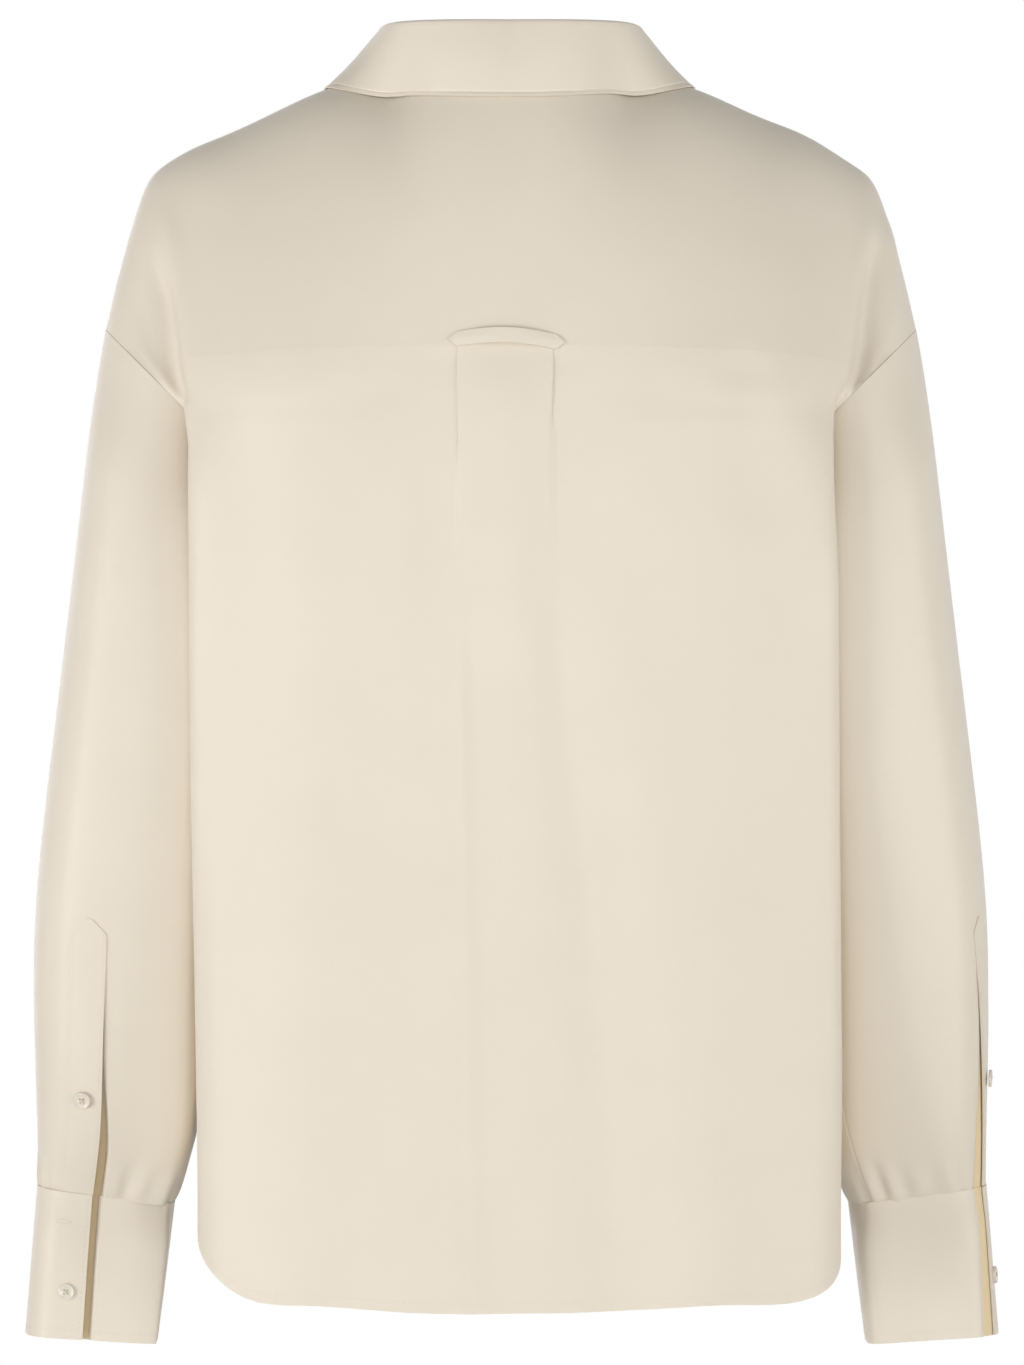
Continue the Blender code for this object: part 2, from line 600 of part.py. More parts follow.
def tower_points(side, across, s):
    """The strip over the slit; `across` runs from -1 at its free edge to 1."""
    places = [row[1] for row in TOWER]
    share = np.interp(s, places, [row[2] for row in TOWER])
    lift = np.interp(s, places, [row[3] for row in TOWER])
    w = across * share * TOWER_WIDTH / 2
    out = ON_SLEEVE + TOWER_LIFT * lift * smooth(-across, -0.4, 1.0)
    return sleeve_points(side, w * sleeve_step(side, s), s, out)


def make_plackets(side, name):
    across, s = np.meshgrid(np.linspace(-1, 1, 4), TOWER_ROWS)
    grid = tower_points(side, across, s)
    cloth_wall("placket_" + name, grid, outward(grid, side), STIFFENED)
    w, s = np.meshgrid(np.linspace(-0.0060, 0.0060, 3), SLEEVE_ROWS[10:-1] + [0.995])
    out = -slit_dip(np.minimum(w, 0), s) - ON_SLEEVE - 0.0002
    grid = sleeve_points(side, w * sleeve_step(side, s), s, out)
    cloth_wall("placket_under_" + name, grid, outward(grid, side), CLOTH)


CUFF_PLACES = [0.0, 0.5, 1.0]
CUFF_UNDERLAP = 0.0120


def cuff_points(side, turn, s, step):
    """Points on a cuff, whose far end passes under its near end. `turn` is in degrees from the slit."""
    column = 6 if side > 0 else 7
    near, far = turn / step, (turn - 360) / step
    over = 0.0010 * (1 - smooth(near, 0.012, 0.030))
    groove = 0.0036 * smooth(far, -0.0175, -0.0115) * (1 - smooth(far, -0.0100, -0.0010))
    under = 0.0005 * smooth(far, -0.0100, -0.0010)
    around = turn + SLIT_FROM_SEAM
    pressed = (turn > 180) * np.maximum(0, 1 - np.abs(around - 360) / 24) * (0.0030 if side < 0 else 0.0010)
    points = ring_points(CUFF, CUFF_PLACES, column, around, s, over - groove - under + pressed)
    points[..., 0] *= side
    return points


def make_cuff(side, name):
    rows = []
    for s in np.linspace(1, 0, 4):
        step = metres_to_turn(CUFF, CUFF_PLACES, 6 if side > 0 else 7, SLIT_FROM_SEAM, s)
        near = [w * step for w in (-TOWER_WIDTH / 2, 0.0, 0.012, 0.021)]
        far = [360 + w * step for w in (-0.0200, -0.0165, -0.0135, -0.0105, -0.0050, 0.0, CUFF_UNDERLAP)]
        crease = 360 - SLIT_FROM_SEAM
        around = np.linspace(near[-1], crease, 15)[1:-1]
        after = np.linspace(crease, far[0], 6)[:-1]
        turn = np.array(near + list(around) + list(after) + far)
        rows.append(cuff_points(side, turn, np.full(len(turn), s), step))
    grid = np.array(rows)
    cloth_wall("cuff_" + name, grid, outward(grid, -side), STIFFENED)


# ---------------------------------------------------------------- collar

COLLAR = [  # name, place from the back (0) to the front end (1), fold x, y, z, edge of the leaf x, y, z
    ("back",       0.00, 0.0000, 0.0565, 0.0330, 0.0000, 0.0720, -0.0080),
    ("side back",  0.22, 0.0430, 0.0530, 0.0338, 0.0540, 0.0630, -0.0062),
    ("neck side",  0.30, 0.0580, 0.0385, 0.0348, 0.0735, 0.0440, -0.0040),
    ("side",       0.38, 0.0685, 0.0140, 0.0352, 0.0935, 0.0240, -0.0012),
    ("shoulder",   0.50, 0.0715, -0.0400, 0.0290, 0.1062, -0.0300, -0.0022),
    ("front side", 0.66, 0.0575, -0.0740, -0.0060, 0.1060, -0.0660, -0.0300),
    ("front",      0.83, 0.0415, -0.0925, -0.0420, 0.0940, -0.0920, -0.0760),
    ("point",      1.00, 0.0262, -0.1010, -0.0630, 0.0800, -0.1050, -0.1180),
]
ROLL = 0.0021              # radius of the collar's folded edge
# Columns of the collar. The leaf stops short of the stand's ends, which carry the button.
COLLAR_S = [0.0, 0.06, 0.12, 0.18, 0.24, 0.30, 0.35, 0.40, 0.44, 0.48, 0.52, 0.57,
            0.63, 0.70, 0.77, 0.845, 0.92]
LEAF_OVER = 0.0030         # its edge lies this far over the yoke and the fronts
LEAF_CROWN, LEAF_HOLLOW = 0.0015, 0.0016   # it is crowned at the back, and hollow at the sides of the neck
RIGHT_SHORTER = 0.03       # share of its depth that the leaf lacks on the right, where it sits higher


def leaf_swell(s, t):
    """How far the leaf stands out of a straight line from fold (0) to edge (1); hollow where negative."""
    beside = smooth(np.abs(s), 0.20, 0.42) * (1 - smooth(np.abs(s), 0.62, 0.85))
    crown, hollow = LEAF_CROWN * math.sin(math.pi * t), LEAF_HOLLOW * math.sin(math.pi * t ** 1.4)
    return crown * (1 - beside) - hollow * beside


def start_clear(one, other):
    """How far along `other` a wall starts, to clear the wall that comes along `one` to the same seam."""
    cosine = np.clip(np.sum(one * other, axis=-1, keepdims=True), -0.80, 0.9999)
    sine, half = np.sqrt(1 - cosine ** 2), STIFFENED / 2
    ends_on = (GAP / 2 + half * sine) / np.maximum(cosine, 0.05)
    return np.minimum(ends_on, (half * (1 - cosine) + GAP) / sine)


def over_body(points):
    """The points, moved square to the yoke and the fronts to lie just over them."""
    samples, normals = [], []
    for side in (1, -1):
        u, v = np.meshgrid(np.linspace(0, 1, 90), np.linspace(0.74, 1, 60))
        u, v = u.ravel(), v.ravel()
        samples += [back_surface(u * side, v), front_surface(u, v, side)]
        normals += [surface_normal(back_surface, u * side, v, -1),
                    surface_normal(lambda a, b: front_surface(a, b, side), u, v, side)]
    samples, normals = np.concatenate(samples), np.concatenate(normals)
    moved = []
    for point in points:
        for again in range(5):                          # slides along the cloth, back to its own height
            start = point if not again else moving + [0, 0, 0.8 * (point[2] - moving[2])]
            nearest = np.argmin(np.sum((samples - start) ** 2, axis=-1))
            normal = normals[nearest]
            moving = start + normal * (LEAF_OVER - np.dot(start - samples[nearest], normal))
        moved.append(moving)
    return np.array(moved)


def collar_lines(s):
    """Base, direction at the base, fold and outer edge of the collar, for s from -1 (right end) to 1."""
    base, tip = np.zeros((2, len(s), 3))
    for i, p in enumerate(np.abs(s)):
        side = -1 if s[i] < 0 else 1
        if p <= 0.5:
            u = np.array([side * NECK_U * p / 0.5])
            base[i], tip[i] = back_surface(u, np.ones(1))[0], back_surface(u, np.full(1, 0.99))[0]
        else:
            end = front_seam_u(np.ones(1), side)[0] - BAND_WIDTH * 0.21 / 0.34 / 0.168
            u = np.array([NECK_U + (end - NECK_U) * (p - 0.5) / 0.5])
            base[i] = front_surface(u, np.ones(1), side)[0]
            tip[i] = front_surface(u, np.full(1, 0.99), side)[0]
            if side < 0:
                normal = surface_normal(lambda a, b: front_surface(a, b, -1), u, np.ones(1), -1)[0]
                base[i] += normal * (STIFFENED + GAP) * smooth(p, 0.65, 0.80)
                tip[i] += normal * (STIFFENED + GAP) * smooth(p, 0.65, 0.80)
    knots = [row[1] for row in COLLAR]
    fold, edge = (along(knots, [row[a:a + 3] for row in COLLAR], np.abs(s)) for a in (2, 5))
    for line in (fold, edge):
        line[..., 0] *= np.where(s < 0, -1, 1)
    edge += (fold - edge) * (RIGHT_SHORTER * smooth(-s, 0.05, 0.30))[:, None]
    run, up = unit(np.gradient(base, axis=0)), unit(fold - base)
    square = lambda way: unit(way - run * np.sum(way * run, axis=-1, keepdims=True))
    slant = np.maximum(np.sum(up * square(up), axis=-1, keepdims=True), 0.5)
    corner = 0.0006 * (1 - smooth(np.abs(np.abs(s) - 0.52), 0.05, 0.12))[:, None]   # where front meets yoke
    base = base + up * (corner + start_clear(square(base - tip), square(up)) / slant)
    return base, fold, over_body(edge)


def fold_frame(base, fold, edge):
    """Directions square to the fold: up the stand, and out over it."""
    run = unit(np.gradient(fold, axis=0))
    up, out = fold - base, edge - fold
    up = unit(up - run * np.sum(up * run, axis=-1, keepdims=True))
    out = out - run * np.sum(out * run, axis=-1, keepdims=True)
    return up, unit(out - up * np.sum(out * up, axis=-1, keepdims=True))


def stand_points(s, heights):
    base, fold, edge = collar_lines(s)
    up, out = fold_frame(base, fold, edge)
    t = np.asarray(heights)[:, None, None]
    return base + (fold - base) * t + out * 0.0010 * np.sin(np.pi * t) ** 2


def make_collar():
    half = COLLAR_S + [0.96, 1.0]
    grid = stand_points(np.array([-s for s in half[:0:-1]] + half), [0.0, 0.35, 0.70, 1.0])
    cloth_wall("collar_stand", grid, outward(grid, -1), STIFFENED)

    s = np.array([-s for s in COLLAR_S[:0:-1]] + COLLAR_S)
    base, fold, edge = collar_lines(s)
    up, out = fold_frame(base, fold, edge)
    rows = [fold + up * (GAP + 0.00015)]
    for degrees in (20, 60, 105, 150):
        a = math.radians(degrees)
        rows.append(fold + up * (GAP + ROLL * math.sin(a)) + out * ROLL * (1 - math.cos(a)))
    top = rows[-1]
    for t in (0.30, 0.65, 1.0):
        rows.append(top + (edge - top) * t + out * leaf_swell(s, t)[:, None])
    grid = np.array(rows)
    cloth_wall("collar", grid, outward(grid, -1), STIFFENED)


# ---------------------------------------------------------------- hanger loop and buttons

LOOP_MIDDLE_X, LOOP_HALF, LOOP_WIDTH, LOOP_POINT = 0.0025, 0.0331, 0.0082, 0.0048


def back_at(x, z):
    """The back's surface and its outward normal at one x and z, near the middle of the yoke."""
    u = np.full(200, x * PLEAT_PER_METRE)
    v = np.linspace(0.60, 0.95, 200)
    height = back_surface(u, v)[:, 2]
    u, v = u[:1], np.array([np.interp(z, height, v)])
    return back_surface(u, v)[0], surface_normal(back_surface, u, v, -1)[0]


def make_loop():
    rows = []
    for across in (-1, 0, 1):
        row = []
        for s in np.linspace(-1, 1, 11):
            half = LOOP_HALF - LOOP_POINT * abs(across)
            x, z = LOOP_MIDDLE_X + s * half, -0.1440 - 0.0028 * s * s + 0.0008 * s + across * LOOP_WIDTH / 2
            point, normal = back_at(x, z)
            row.append(point + normal * (ON_SLEEVE + 0.0026 * (1 - s * s) ** 2))
        rows.append(row)
    grid = np.array(rows)
    cloth_wall("hanger_loop", grid, outward(grid, -1), STIFFENED)


def make_button(name, middle, normal):
    """A round button whose underside is at `middle`."""
    ring_sizes = [(0.0, 0.90), (0.55, 1.0), (1.0, 0.84)]   # share of thickness, share of radius
    sides = 14
    shell = bmesh.new()
    rings = []
    for height, radius in ring_sizes:
        corners = [2 * math.pi * k / sides for k in range(sides)]
        reach, level = radius * BUTTON_RADIUS, height * BUTTON_THICKNESS
        rings.append([shell.verts.new((reach * math.cos(a), reach * math.sin(a), level)) for a in corners])
    for lower, upper in zip(rings, rings[1:]):
        for k in range(sides):
            shell.faces.new((lower[k], lower[(k + 1) % sides], upper[(k + 1) % sides], upper[k]))
    shell.faces.new(rings[0][::-1])
    shell.faces.new(rings[-1])
    mesh = bpy.data.meshes.new(name)
    shell.to_mesh(mesh)
    shell.free()
    button = place(name, mesh, silk(name + "_shell", SHELL, 0.25))
    button.location = middle
    x, y, z = (float(value) for value in unit(np.asarray(normal)))
    button.rotation_euler = (0, math.acos(max(-1, min(1, z))), math.atan2(y, x))


FRONT_BUTTONS = [-0.150, -0.232, -0.314, -0.396, -0.478, -0.560]
SEAT = STIFFENED / 2 + GAP


def make_buttons():
    surface = lambda a, b: front_surface(a, b, -1)
    v = np.linspace(0, 0.95, 400)
    height = surface(np.zeros(400), v)[:, 2]
    for number, z in enumerate(FRONT_BUTTONS, 1):
        at = np.array([np.interp(z, height, v)])
        middle, normal = surface(np.zeros(1), at)[0], surface_normal(surface, np.full(1, 0.01), at, -1)[0]
        make_button(f"button_{number}", middle + normal * (STIFFENED + GAP + SEAT), normal)
    (one, other), (upper, _) = stand_points(np.array([0.950, 0.965]), [0.45, 0.55])
    normal = unit(np.cross(other - one, upper - one))
    normal = normal if normal[1] < 0 else -normal
    make_button("button_collar", (one + other) / 2 + normal * (SEAT + GAP), normal)
    for side, name, placket_s, cuff_s in ((1, "left", 0.867, 0.675), (-1, "right", 0.845, 0.605)):
        step = metres_to_turn(CUFF, CUFF_PLACES, 6 if side > 0 else 7, SLIT_FROM_SEAM, cuff_s)
        on_placket = lambda turn, s: tower_points(side, np.array([turn]), np.array([s]))[0]
        on_cuff = lambda turn, s: cuff_points(side, np.array([turn]), np.array([s]), step)[0]
        for piece, points, s in (("placket", on_placket, placket_s), ("cuff", on_cuff, cuff_s)):
            across = points(0.1, s) - points(-0.1, s)
            down = points(0.0, s + 0.01) - points(0.0, s)
            normal = unit(np.cross(across, down)) * side
            make_button(f"button_{piece}_{name}", points(0.0, s) + normal * SEAT, normal)


def build():
    for leftover in list(bpy.data.objects):
        bpy.data.objects.remove(leftover)
    make_back_and_yoke()
    make_fronts()
    for side, name in ((1, "left"), (-1, "right")):
        make_sleeve(side, name)
        make_plackets(side, name)
        make_cuff(side, name)
    make_collar()
    make_loop()
    make_buttons()


build()
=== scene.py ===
import math

import bmesh
import bpy
import numpy as np
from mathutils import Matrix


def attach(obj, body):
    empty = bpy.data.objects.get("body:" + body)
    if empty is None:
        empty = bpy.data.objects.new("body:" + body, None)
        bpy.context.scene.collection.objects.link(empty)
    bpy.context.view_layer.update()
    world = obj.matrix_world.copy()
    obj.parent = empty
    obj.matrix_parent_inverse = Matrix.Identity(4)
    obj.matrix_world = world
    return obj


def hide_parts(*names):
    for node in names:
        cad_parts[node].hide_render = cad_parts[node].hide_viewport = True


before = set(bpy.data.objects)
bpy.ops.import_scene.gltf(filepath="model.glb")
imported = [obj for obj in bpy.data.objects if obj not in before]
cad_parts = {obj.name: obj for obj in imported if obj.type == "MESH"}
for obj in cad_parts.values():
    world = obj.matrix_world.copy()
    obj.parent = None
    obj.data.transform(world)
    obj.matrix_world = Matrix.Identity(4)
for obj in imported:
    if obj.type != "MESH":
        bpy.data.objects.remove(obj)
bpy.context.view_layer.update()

# ---------------------------------------------------------------- the silk
# The whole blouse is cut from one light ivory silk, about 82 grams to the square metre, woven as a
# crepe-backed satin. It is shown as a shell of half a millimetre, so that its edges hold their form.
SILK = 0.0005              # one layer
FACED = 0.0009             # two layers with a light interfacing: collar, bands, cuffs, sleeve strips
THREAD = 0.00028           # weave, drawn twice as coarse as the real one, so that it shows
IVORY = "#EADFCE"


def linear(colour):
    """An sRGB hex colour as linear red, green, blue and alpha."""
    parts = [int(colour[i:i + 2], 16) / 255 for i in (1, 3, 5)]
    return [p / 12.92 if p <= 0.04045 else ((p + 0.055) / 1.055) ** 2.4 for p in parts] + [1.0]


def add_node(tree, kind, links=(), **settings):
    """A node of a material with its settings; each link is an input of it and the socket it comes from."""
    node = tree.nodes.new(kind)
    for name, value in settings.items():
        if name.startswith("in_"):
            key = name[3:]
            node.inputs[int(key) if key.isdigit() else key.replace("_", " ")].default_value = value
        else:
            setattr(node, name, value)
    for socket, source in links:
        tree.links.new(source, node.inputs[socket])
    return node


def satin_silk(name, roughness=0.46, weave=0.10, dye_or_painted_shade=IVORY):
    """Crepe-backed satin: a soft broad sheen, a fine crossed weave, and slight uneven patches of dye."""
    material = bpy.data.materials.new(name)
    material.use_nodes = True
    tree = material.node_tree
    tree.nodes.clear()
    uv = add_node(tree, "ShaderNodeUVMap", uv_map="cut").outputs[0]
    where = add_node(tree, "ShaderNodeTexCoord").outputs["Object"]
    yarns = [add_node(tree, "ShaderNodeTexWave", [("Vector", uv)], bands_direction=grain,
                      in_Scale=0.5 / THREAD / math.pi, in_Distortion=0.6, in_Detail=1.0).outputs["Fac"]
             for grain in ("X", "Y")]
    crossed = add_node(tree, "ShaderNodeMath", enumerate(yarns), operation="MULTIPLY").outputs[0]
    cloudy = add_node(tree, "ShaderNodeTexNoise", [("Vector", where)], in_Scale=22.0,
                      in_Detail=3.0).outputs[0]
    shade = add_node(tree, "ShaderNodeMapRange", [("Value", cloudy)], in_3=0.975, in_4=1.02).outputs[0]
    colour = add_node(tree, "ShaderNodeHueSaturation", [("Value", shade)], in_Color=linear(dye_or_painted_shade)).outputs[0]
    bump = add_node(tree, "ShaderNodeBump", [("Height", crossed)], in_Strength=weave,
                    in_Distance=0.0001).outputs[0]
    shader = add_node(tree, "ShaderNodeBsdfPrincipled", [("Base Color", colour), ("Normal", bump)],
                      in_Roughness=roughness, in_Metallic=0.0, in_IOR=1.46, in_Sheen_Weight=0.25,
                      in_Sheen_Roughness=0.35)
    add_node(tree, "ShaderNodeOutputMaterial", [("Surface", shader.outputs[0])])
    return material


def spline_weights(knots, at):
    """Rows of weights that turn values at the knots into a natural cubic spline's values at `at`."""
    knots, at = np.asarray(knots, float), np.atleast_1d(np.asarray(at, float))
    count = len(knots)
    step = np.diff(knots)
    bend, slope = np.zeros((count, count)), np.zeros((count, count))
    bend[0, 0] = bend[-1, -1] = 1.0
    for i in range(1, count - 1):
        bend[i, i - 1:i + 2] = step[i - 1], 2 * (step[i - 1] + step[i]), step[i]
        slope[i, i - 1:i + 2] = 6 / step[i - 1], -6 / step[i - 1] - 6 / step[i], 6 / step[i]
    second = np.linalg.solve(bend, slope)
    i = np.clip(np.searchsorted(knots, at, side="right") - 1, 0, count - 2)
    h = step[i][:, None]
    b = ((at - knots[i]) / step[i])[:, None]
    a = 1 - b
    basis = np.eye(count)
    return (a * basis[i] + b * basis[i + 1]
            + ((a ** 3 - a) * second[i] + (b ** 3 - b) * second[i + 1]) * h ** 2 / 6)


def along(knots, values, at):
    """The values at `at` of a natural cubic spline through the values at the knots."""
    values = np.asarray(values, float)
    return (spline_weights(knots, np.ravel(at)) @ values).reshape(np.shape(at) + values.shape[1:])


def unit(vectors):
    return vectors / np.maximum(np.linalg.norm(vectors, axis=-1, keepdims=True), 1e-12)


def smooth(x, low=0.0, high=1.0):
    """0 below low, 1 above high, and an even S between."""
    t = np.clip((np.asarray(x, float) - low) / (high - low), 0, 1)
    return t * t * (3 - 2 * t)


def dense(knots, step):
    """The knots with even steps between them, none longer than `step`."""
    parts = []
    for low, high in zip(knots, knots[1:]):
        steps = max(1, math.ceil(abs(high - low) / step))
        parts.append(np.linspace(low, high, steps + 1)[:-1])
    return np.concatenate(parts + [[knots[-1]]])


def outward(middle, side, ring=False):
    """Mitred offset vectors of a grid of points, so that a shell keeps one thickness round its folds.

    `side` is 1 where a step along a row, crossed with a step up, points out of the garment.
    """
    rise = unit(np.diff(middle, axis=0))
    up = unit(np.concatenate([rise[:1], rise]) + np.concatenate([rise, rise[-1:]]))
    step = np.diff(middle, axis=1)
    between = (up[:, 1:] + up[:, :-1]) / 2
    flat = unit(np.cross(step, between)) * side
    first, last = (flat[:, -1:], flat[:, :1]) if ring else (flat[:, :1], flat[:, -1:])
    before, after = np.concatenate([first, flat], axis=1), np.concatenate([flat, last], axis=1)
    dot = np.sum(before * after, axis=-1, keepdims=True)
    return (before + after) / np.maximum(1 + dot, 0.35)


def run_length(points, axis):
    """How far each point lies along its row or column, on the cloth."""
    steps = np.linalg.norm(np.diff(points, axis=axis), axis=-1)
    zero = np.zeros_like(steps[:1] if axis == 0 else steps[:, :1])
    return np.concatenate([zero, np.cumsum(steps, axis=axis)], axis=axis)


def in_scene(name, data):
    """A new object for a mesh, a lamp or a camera, linked to the scene."""
    piece = bpy.data.objects.new(name, data)
    bpy.context.scene.collection.objects.link(piece)
    return piece


def turned_outwards(mesh):
    """Turns a closed mesh's faces outwards, and takes off corners that no face uses."""
    edited = bmesh.new()
    edited.from_mesh(mesh)
    bmesh.ops.delete(edited, geom=[v for v in edited.verts if not v.link_faces], context="VERTS")
    bmesh.ops.recalc_face_normals(edited, faces=edited.faces[:])
    edited.to_mesh(mesh)
    edited.free()


def cloth_shell(name, middle, offset, thickness, material, closed_rows=0):
    """One closed shell of cloth around a grid of points on its middle surface.

    In the first `closed_rows` rows the last column is the first again, so the cloth is a tube there.
    Its UV map, in metres, follows the grain.
    """
    rows, columns = middle.shape[:2]
    points = np.concatenate([middle + offset * thickness / 2, middle - offset * thickness / 2]).reshape(-1, 3)
    number = np.arange(rows * columns).reshape(rows, columns)
    number[:closed_rows, -1] = number[:closed_rows, 0]
    a, b, c, d = number[:-1, :-1], number[:-1, 1:], number[1:, 1:], number[1:, :-1]
    outer = np.stack([a, b, c, d], axis=-1).reshape(-1, 4)
    inner = outer[:, ::-1] + rows * columns
    rim = [(number[0, i + 1], number[0, i]) for i in range(columns - 1)]
    rim += [(number[-1, i], number[-1, i + 1]) for i in range(columns - 1)]
    for row in range(max(closed_rows - 1, 0), rows - 1):
        rim += [(number[row + 1, -1], number[row, -1]), (number[row, 0], number[row + 1, 0])]
    rim = np.array([(p, q, q + rows * columns, p + rows * columns) for p, q in rim])
    faces = np.concatenate([outer, inner, rim])
    mesh = bpy.data.meshes.new(name)
    mesh.from_pydata(points.tolist(), [], faces.tolist())
    mesh.update()
    grain = np.stack([run_length(middle, 1), run_length(middle, 0)], axis=-1).reshape(-1, 2)
    cut = mesh.uv_layers.new(name="cut")
    corners = np.zeros(len(mesh.loops), int)
    mesh.loops.foreach_get("vertex_index", corners)
    cut.data.foreach_set("uv", grain[corners % (rows * columns)].astype(np.float32).ravel())
    turned_outwards(mesh)
    mesh.materials.append(material)
    mesh.shade_smooth()
    mesh.set_sharp_from_angle(angle=math.radians(55))
    piece = in_scene(name, mesh)
    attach(piece, "root")
    return piece


silk_body = satin_silk("ivory_satin_silk_body")
# a darker, warmer and duller copy of the satin: painted shade, put where an edge stands open and its inside
# lies in shade
painted_shade_silk = satin_silk("ivory_satin_silk_wrong_side", roughness=0.60, dye_or_painted_shade="#E9D3AB")


def paint_shade_where(piece, where):
    """Paints shade on a shell's outer faces where the grid `where` says, with the darker, warmer copy of the
    silk.
    """
    piece.data.materials.append(painted_shade_silk)
    for face, inside in zip(piece.data.polygons, where[:-1, :-1].ravel()):
        face.material_index = int(inside)


# ---------------------------------------------------------------- the body's form, and the back
# The back is one panel of silk with a shirt tail, and a box pleat in the middle of its top edge.
# Fronts, back and yoke hang on one form, drawn from rings of the body and from lines that run up it.
ARM_Y = -0.009            # the arms and the shoulder ridge lie this far in front of the middle
UNDERARM_Z = -0.2195
YOKE_SEAM_Z = -0.1490      # the yoke's straight back edge
CORNER_DROP = 0.0130       # the cloth's corner under the arm is rounded over this far below it
SIDE_HEM_Z = -0.6150       # the shirt tail rises to here at the side seams
SWAY = (-0.0015, -0.0032)  # the body hangs this far towards the right, at the chest and more at the hem
SHOULDER_CROWN = [(1, 0.186, 0.0026), (-1, 0.168, 0.0030)]   # side, where its end is rounder, by how much
SEAM = 0.00008             # half of the groove where two pieces are sewn together
PRESSED_SEAM = 0.00001     # the same where the seam is pressed flat
# Rings of the body below the arms. Its sides are hollow where the sleeves lie against them.
TORSO = [  # name, z, depth of back, half width of back, side, depth of front, half width of front
    ("hem",      None,       0.1080, 0.1800, 0.1765, 0.1120, 0.1680),
    ("hip",      -0.6000,    0.1090, 0.1800, 0.1745, 0.1130, 0.1680),
    ("waist",    -0.4500,    0.1080, 0.1800, 0.1650, 0.1120, 0.1630),
    ("chest",    -0.3300,    0.1100, 0.1795, 0.1510, 0.1140, 0.1590),
    ("underarm", UNDERARM_Z, 0.1120, 0.1780, 0.1460, 0.1140, 0.1580),
]
# Lines that run up the back, and where each ends on the neckline or on the shoulder seam.
BACK = [  # name, share of width, share of depth, hem z left, right, yoke seam z, top x, y, z, sweep
    ("centre", 0.000, 1.000, -0.6863, -0.6863, YOKE_SEAM_Z, 0.0000, 0.0600, 0.0080, 50),
    ("inner",  0.335, 0.990, -0.6860, -0.6850, -0.1492, 0.0440, 0.0460, 0.0090, 56),
    ("neck",   0.640, 0.945, -0.6826, -0.6820, -0.1505, 0.0745, -0.0330, 0.0060, 100),
    ("corner", 0.870, 0.820, -0.6775, -0.6812, -0.1530, 0.1380, -0.0370, -0.0190, 103),
    ("crest",  1.000, 0.610, -0.6485, -0.6610, -0.1560, 0.1985, -0.0370, -0.0460, 103),
    ("crease", None,  0.320, -0.6285, -0.6350, None,    0.2130, -0.0370, -0.0700, 103),
]
FRONT = [  # the same for the front
    ("centre", 0.000, 1.000, -0.6600, -0.6600, -0.1500, 0.0000, -0.0930, -0.0860, 50),
    ("inner",  0.340, 0.988, -0.6600, -0.6600, -0.1500, 0.0400, -0.0850, -0.0690, 50),
    ("neck",   0.640, 0.935, -0.6570, -0.6570, -0.1500, 0.0745, -0.0330, 0.0060, 74),
    ("corner", 0.880, 0.830, -0.6480, -0.6480, -0.1500, 0.1380, -0.0370, -0.0190, 77),
    ("crest",  1.000, 0.670, -0.6330, -0.6330, -0.1520, 0.1985, -0.0370, -0.0460, 77),
    ("crease", None,  0.380, -0.6220, -0.6220, None,    0.2130, -0.0370, -0.0700, 77),
]
# Rows over the shoulder: share of the sweep past the yoke seam, turn round the armhole from the
# underarm, x of the crest, and the bottom of the crease that the dropped shoulder hangs into.
BACK_ROWS = [
    ("low",   None, 66,  0.1792, 0.1720, 0.0590, -0.1900),
    ("yoke",  0.00, 112, 0.1812, 0.1905, 0.0520, -0.1590),
    ("blade", 0.40, 148, 0.1905, 0.2080, 0.0270, -0.0960),
    ("ridge", 0.74, 178, 0.1965, 0.2120, -0.0070, -0.0640),
    ("seam",  1.00, 205, 0.1985, 0.2130, -0.0370, -0.0700),
]
FRONT_ROWS = [
    ("low",    None, 300, 0.1650, 0.1668, -0.0715, -0.1925),
    ("breast", 0.00, 250, 0.1700, 0.1850, -0.0700, -0.1560),
    ("upper",  0.55, 226, 0.1880, 0.2060, -0.0560, -0.1000),
    ("seam",   1.00, 205, 0.1985, 0.2130, -0.0370, -0.0700),
]
ACROSS = [0.0, 0.21, 0.42, 0.62, 0.79, 0.89, 1.0]     # the lines' places across a panel
NECK_U = 0.42
SIDE_V = [0.0, 0.10, 0.30, 0.46, 0.60]
UP_BACK = SIDE_V + [0.67, 0.76, 0.85, 0.93, 1.0]
UP_FRONT = SIDE_V + [0.68, 0.78, 0.90, 1.0]
YOKE_V = 0.76

# The armhole is a tilted ellipse from the underarm up to the top of the arm.
ARMHOLE_LOW = np.array([0.1460, ARM_Y, UNDERARM_Z])
ARMHOLE_TOP = np.array([0.2310, ARM_Y, -0.1350])
ARMHOLE_DEPTH = 0.0650


def armhole(turn):
    """Points of the left armhole. Turns run in degrees from the underarm round the back to the front."""
    angle = np.radians(np.asarray(turn, float))[..., None]
    middle = (ARMHOLE_LOW + ARMHOLE_TOP) / 2
    reach = (ARMHOLE_TOP - ARMHOLE_LOW) / 2
    return middle - reach * np.cos(angle) + np.array([0, ARMHOLE_DEPTH, 0]) * np.sin(angle)


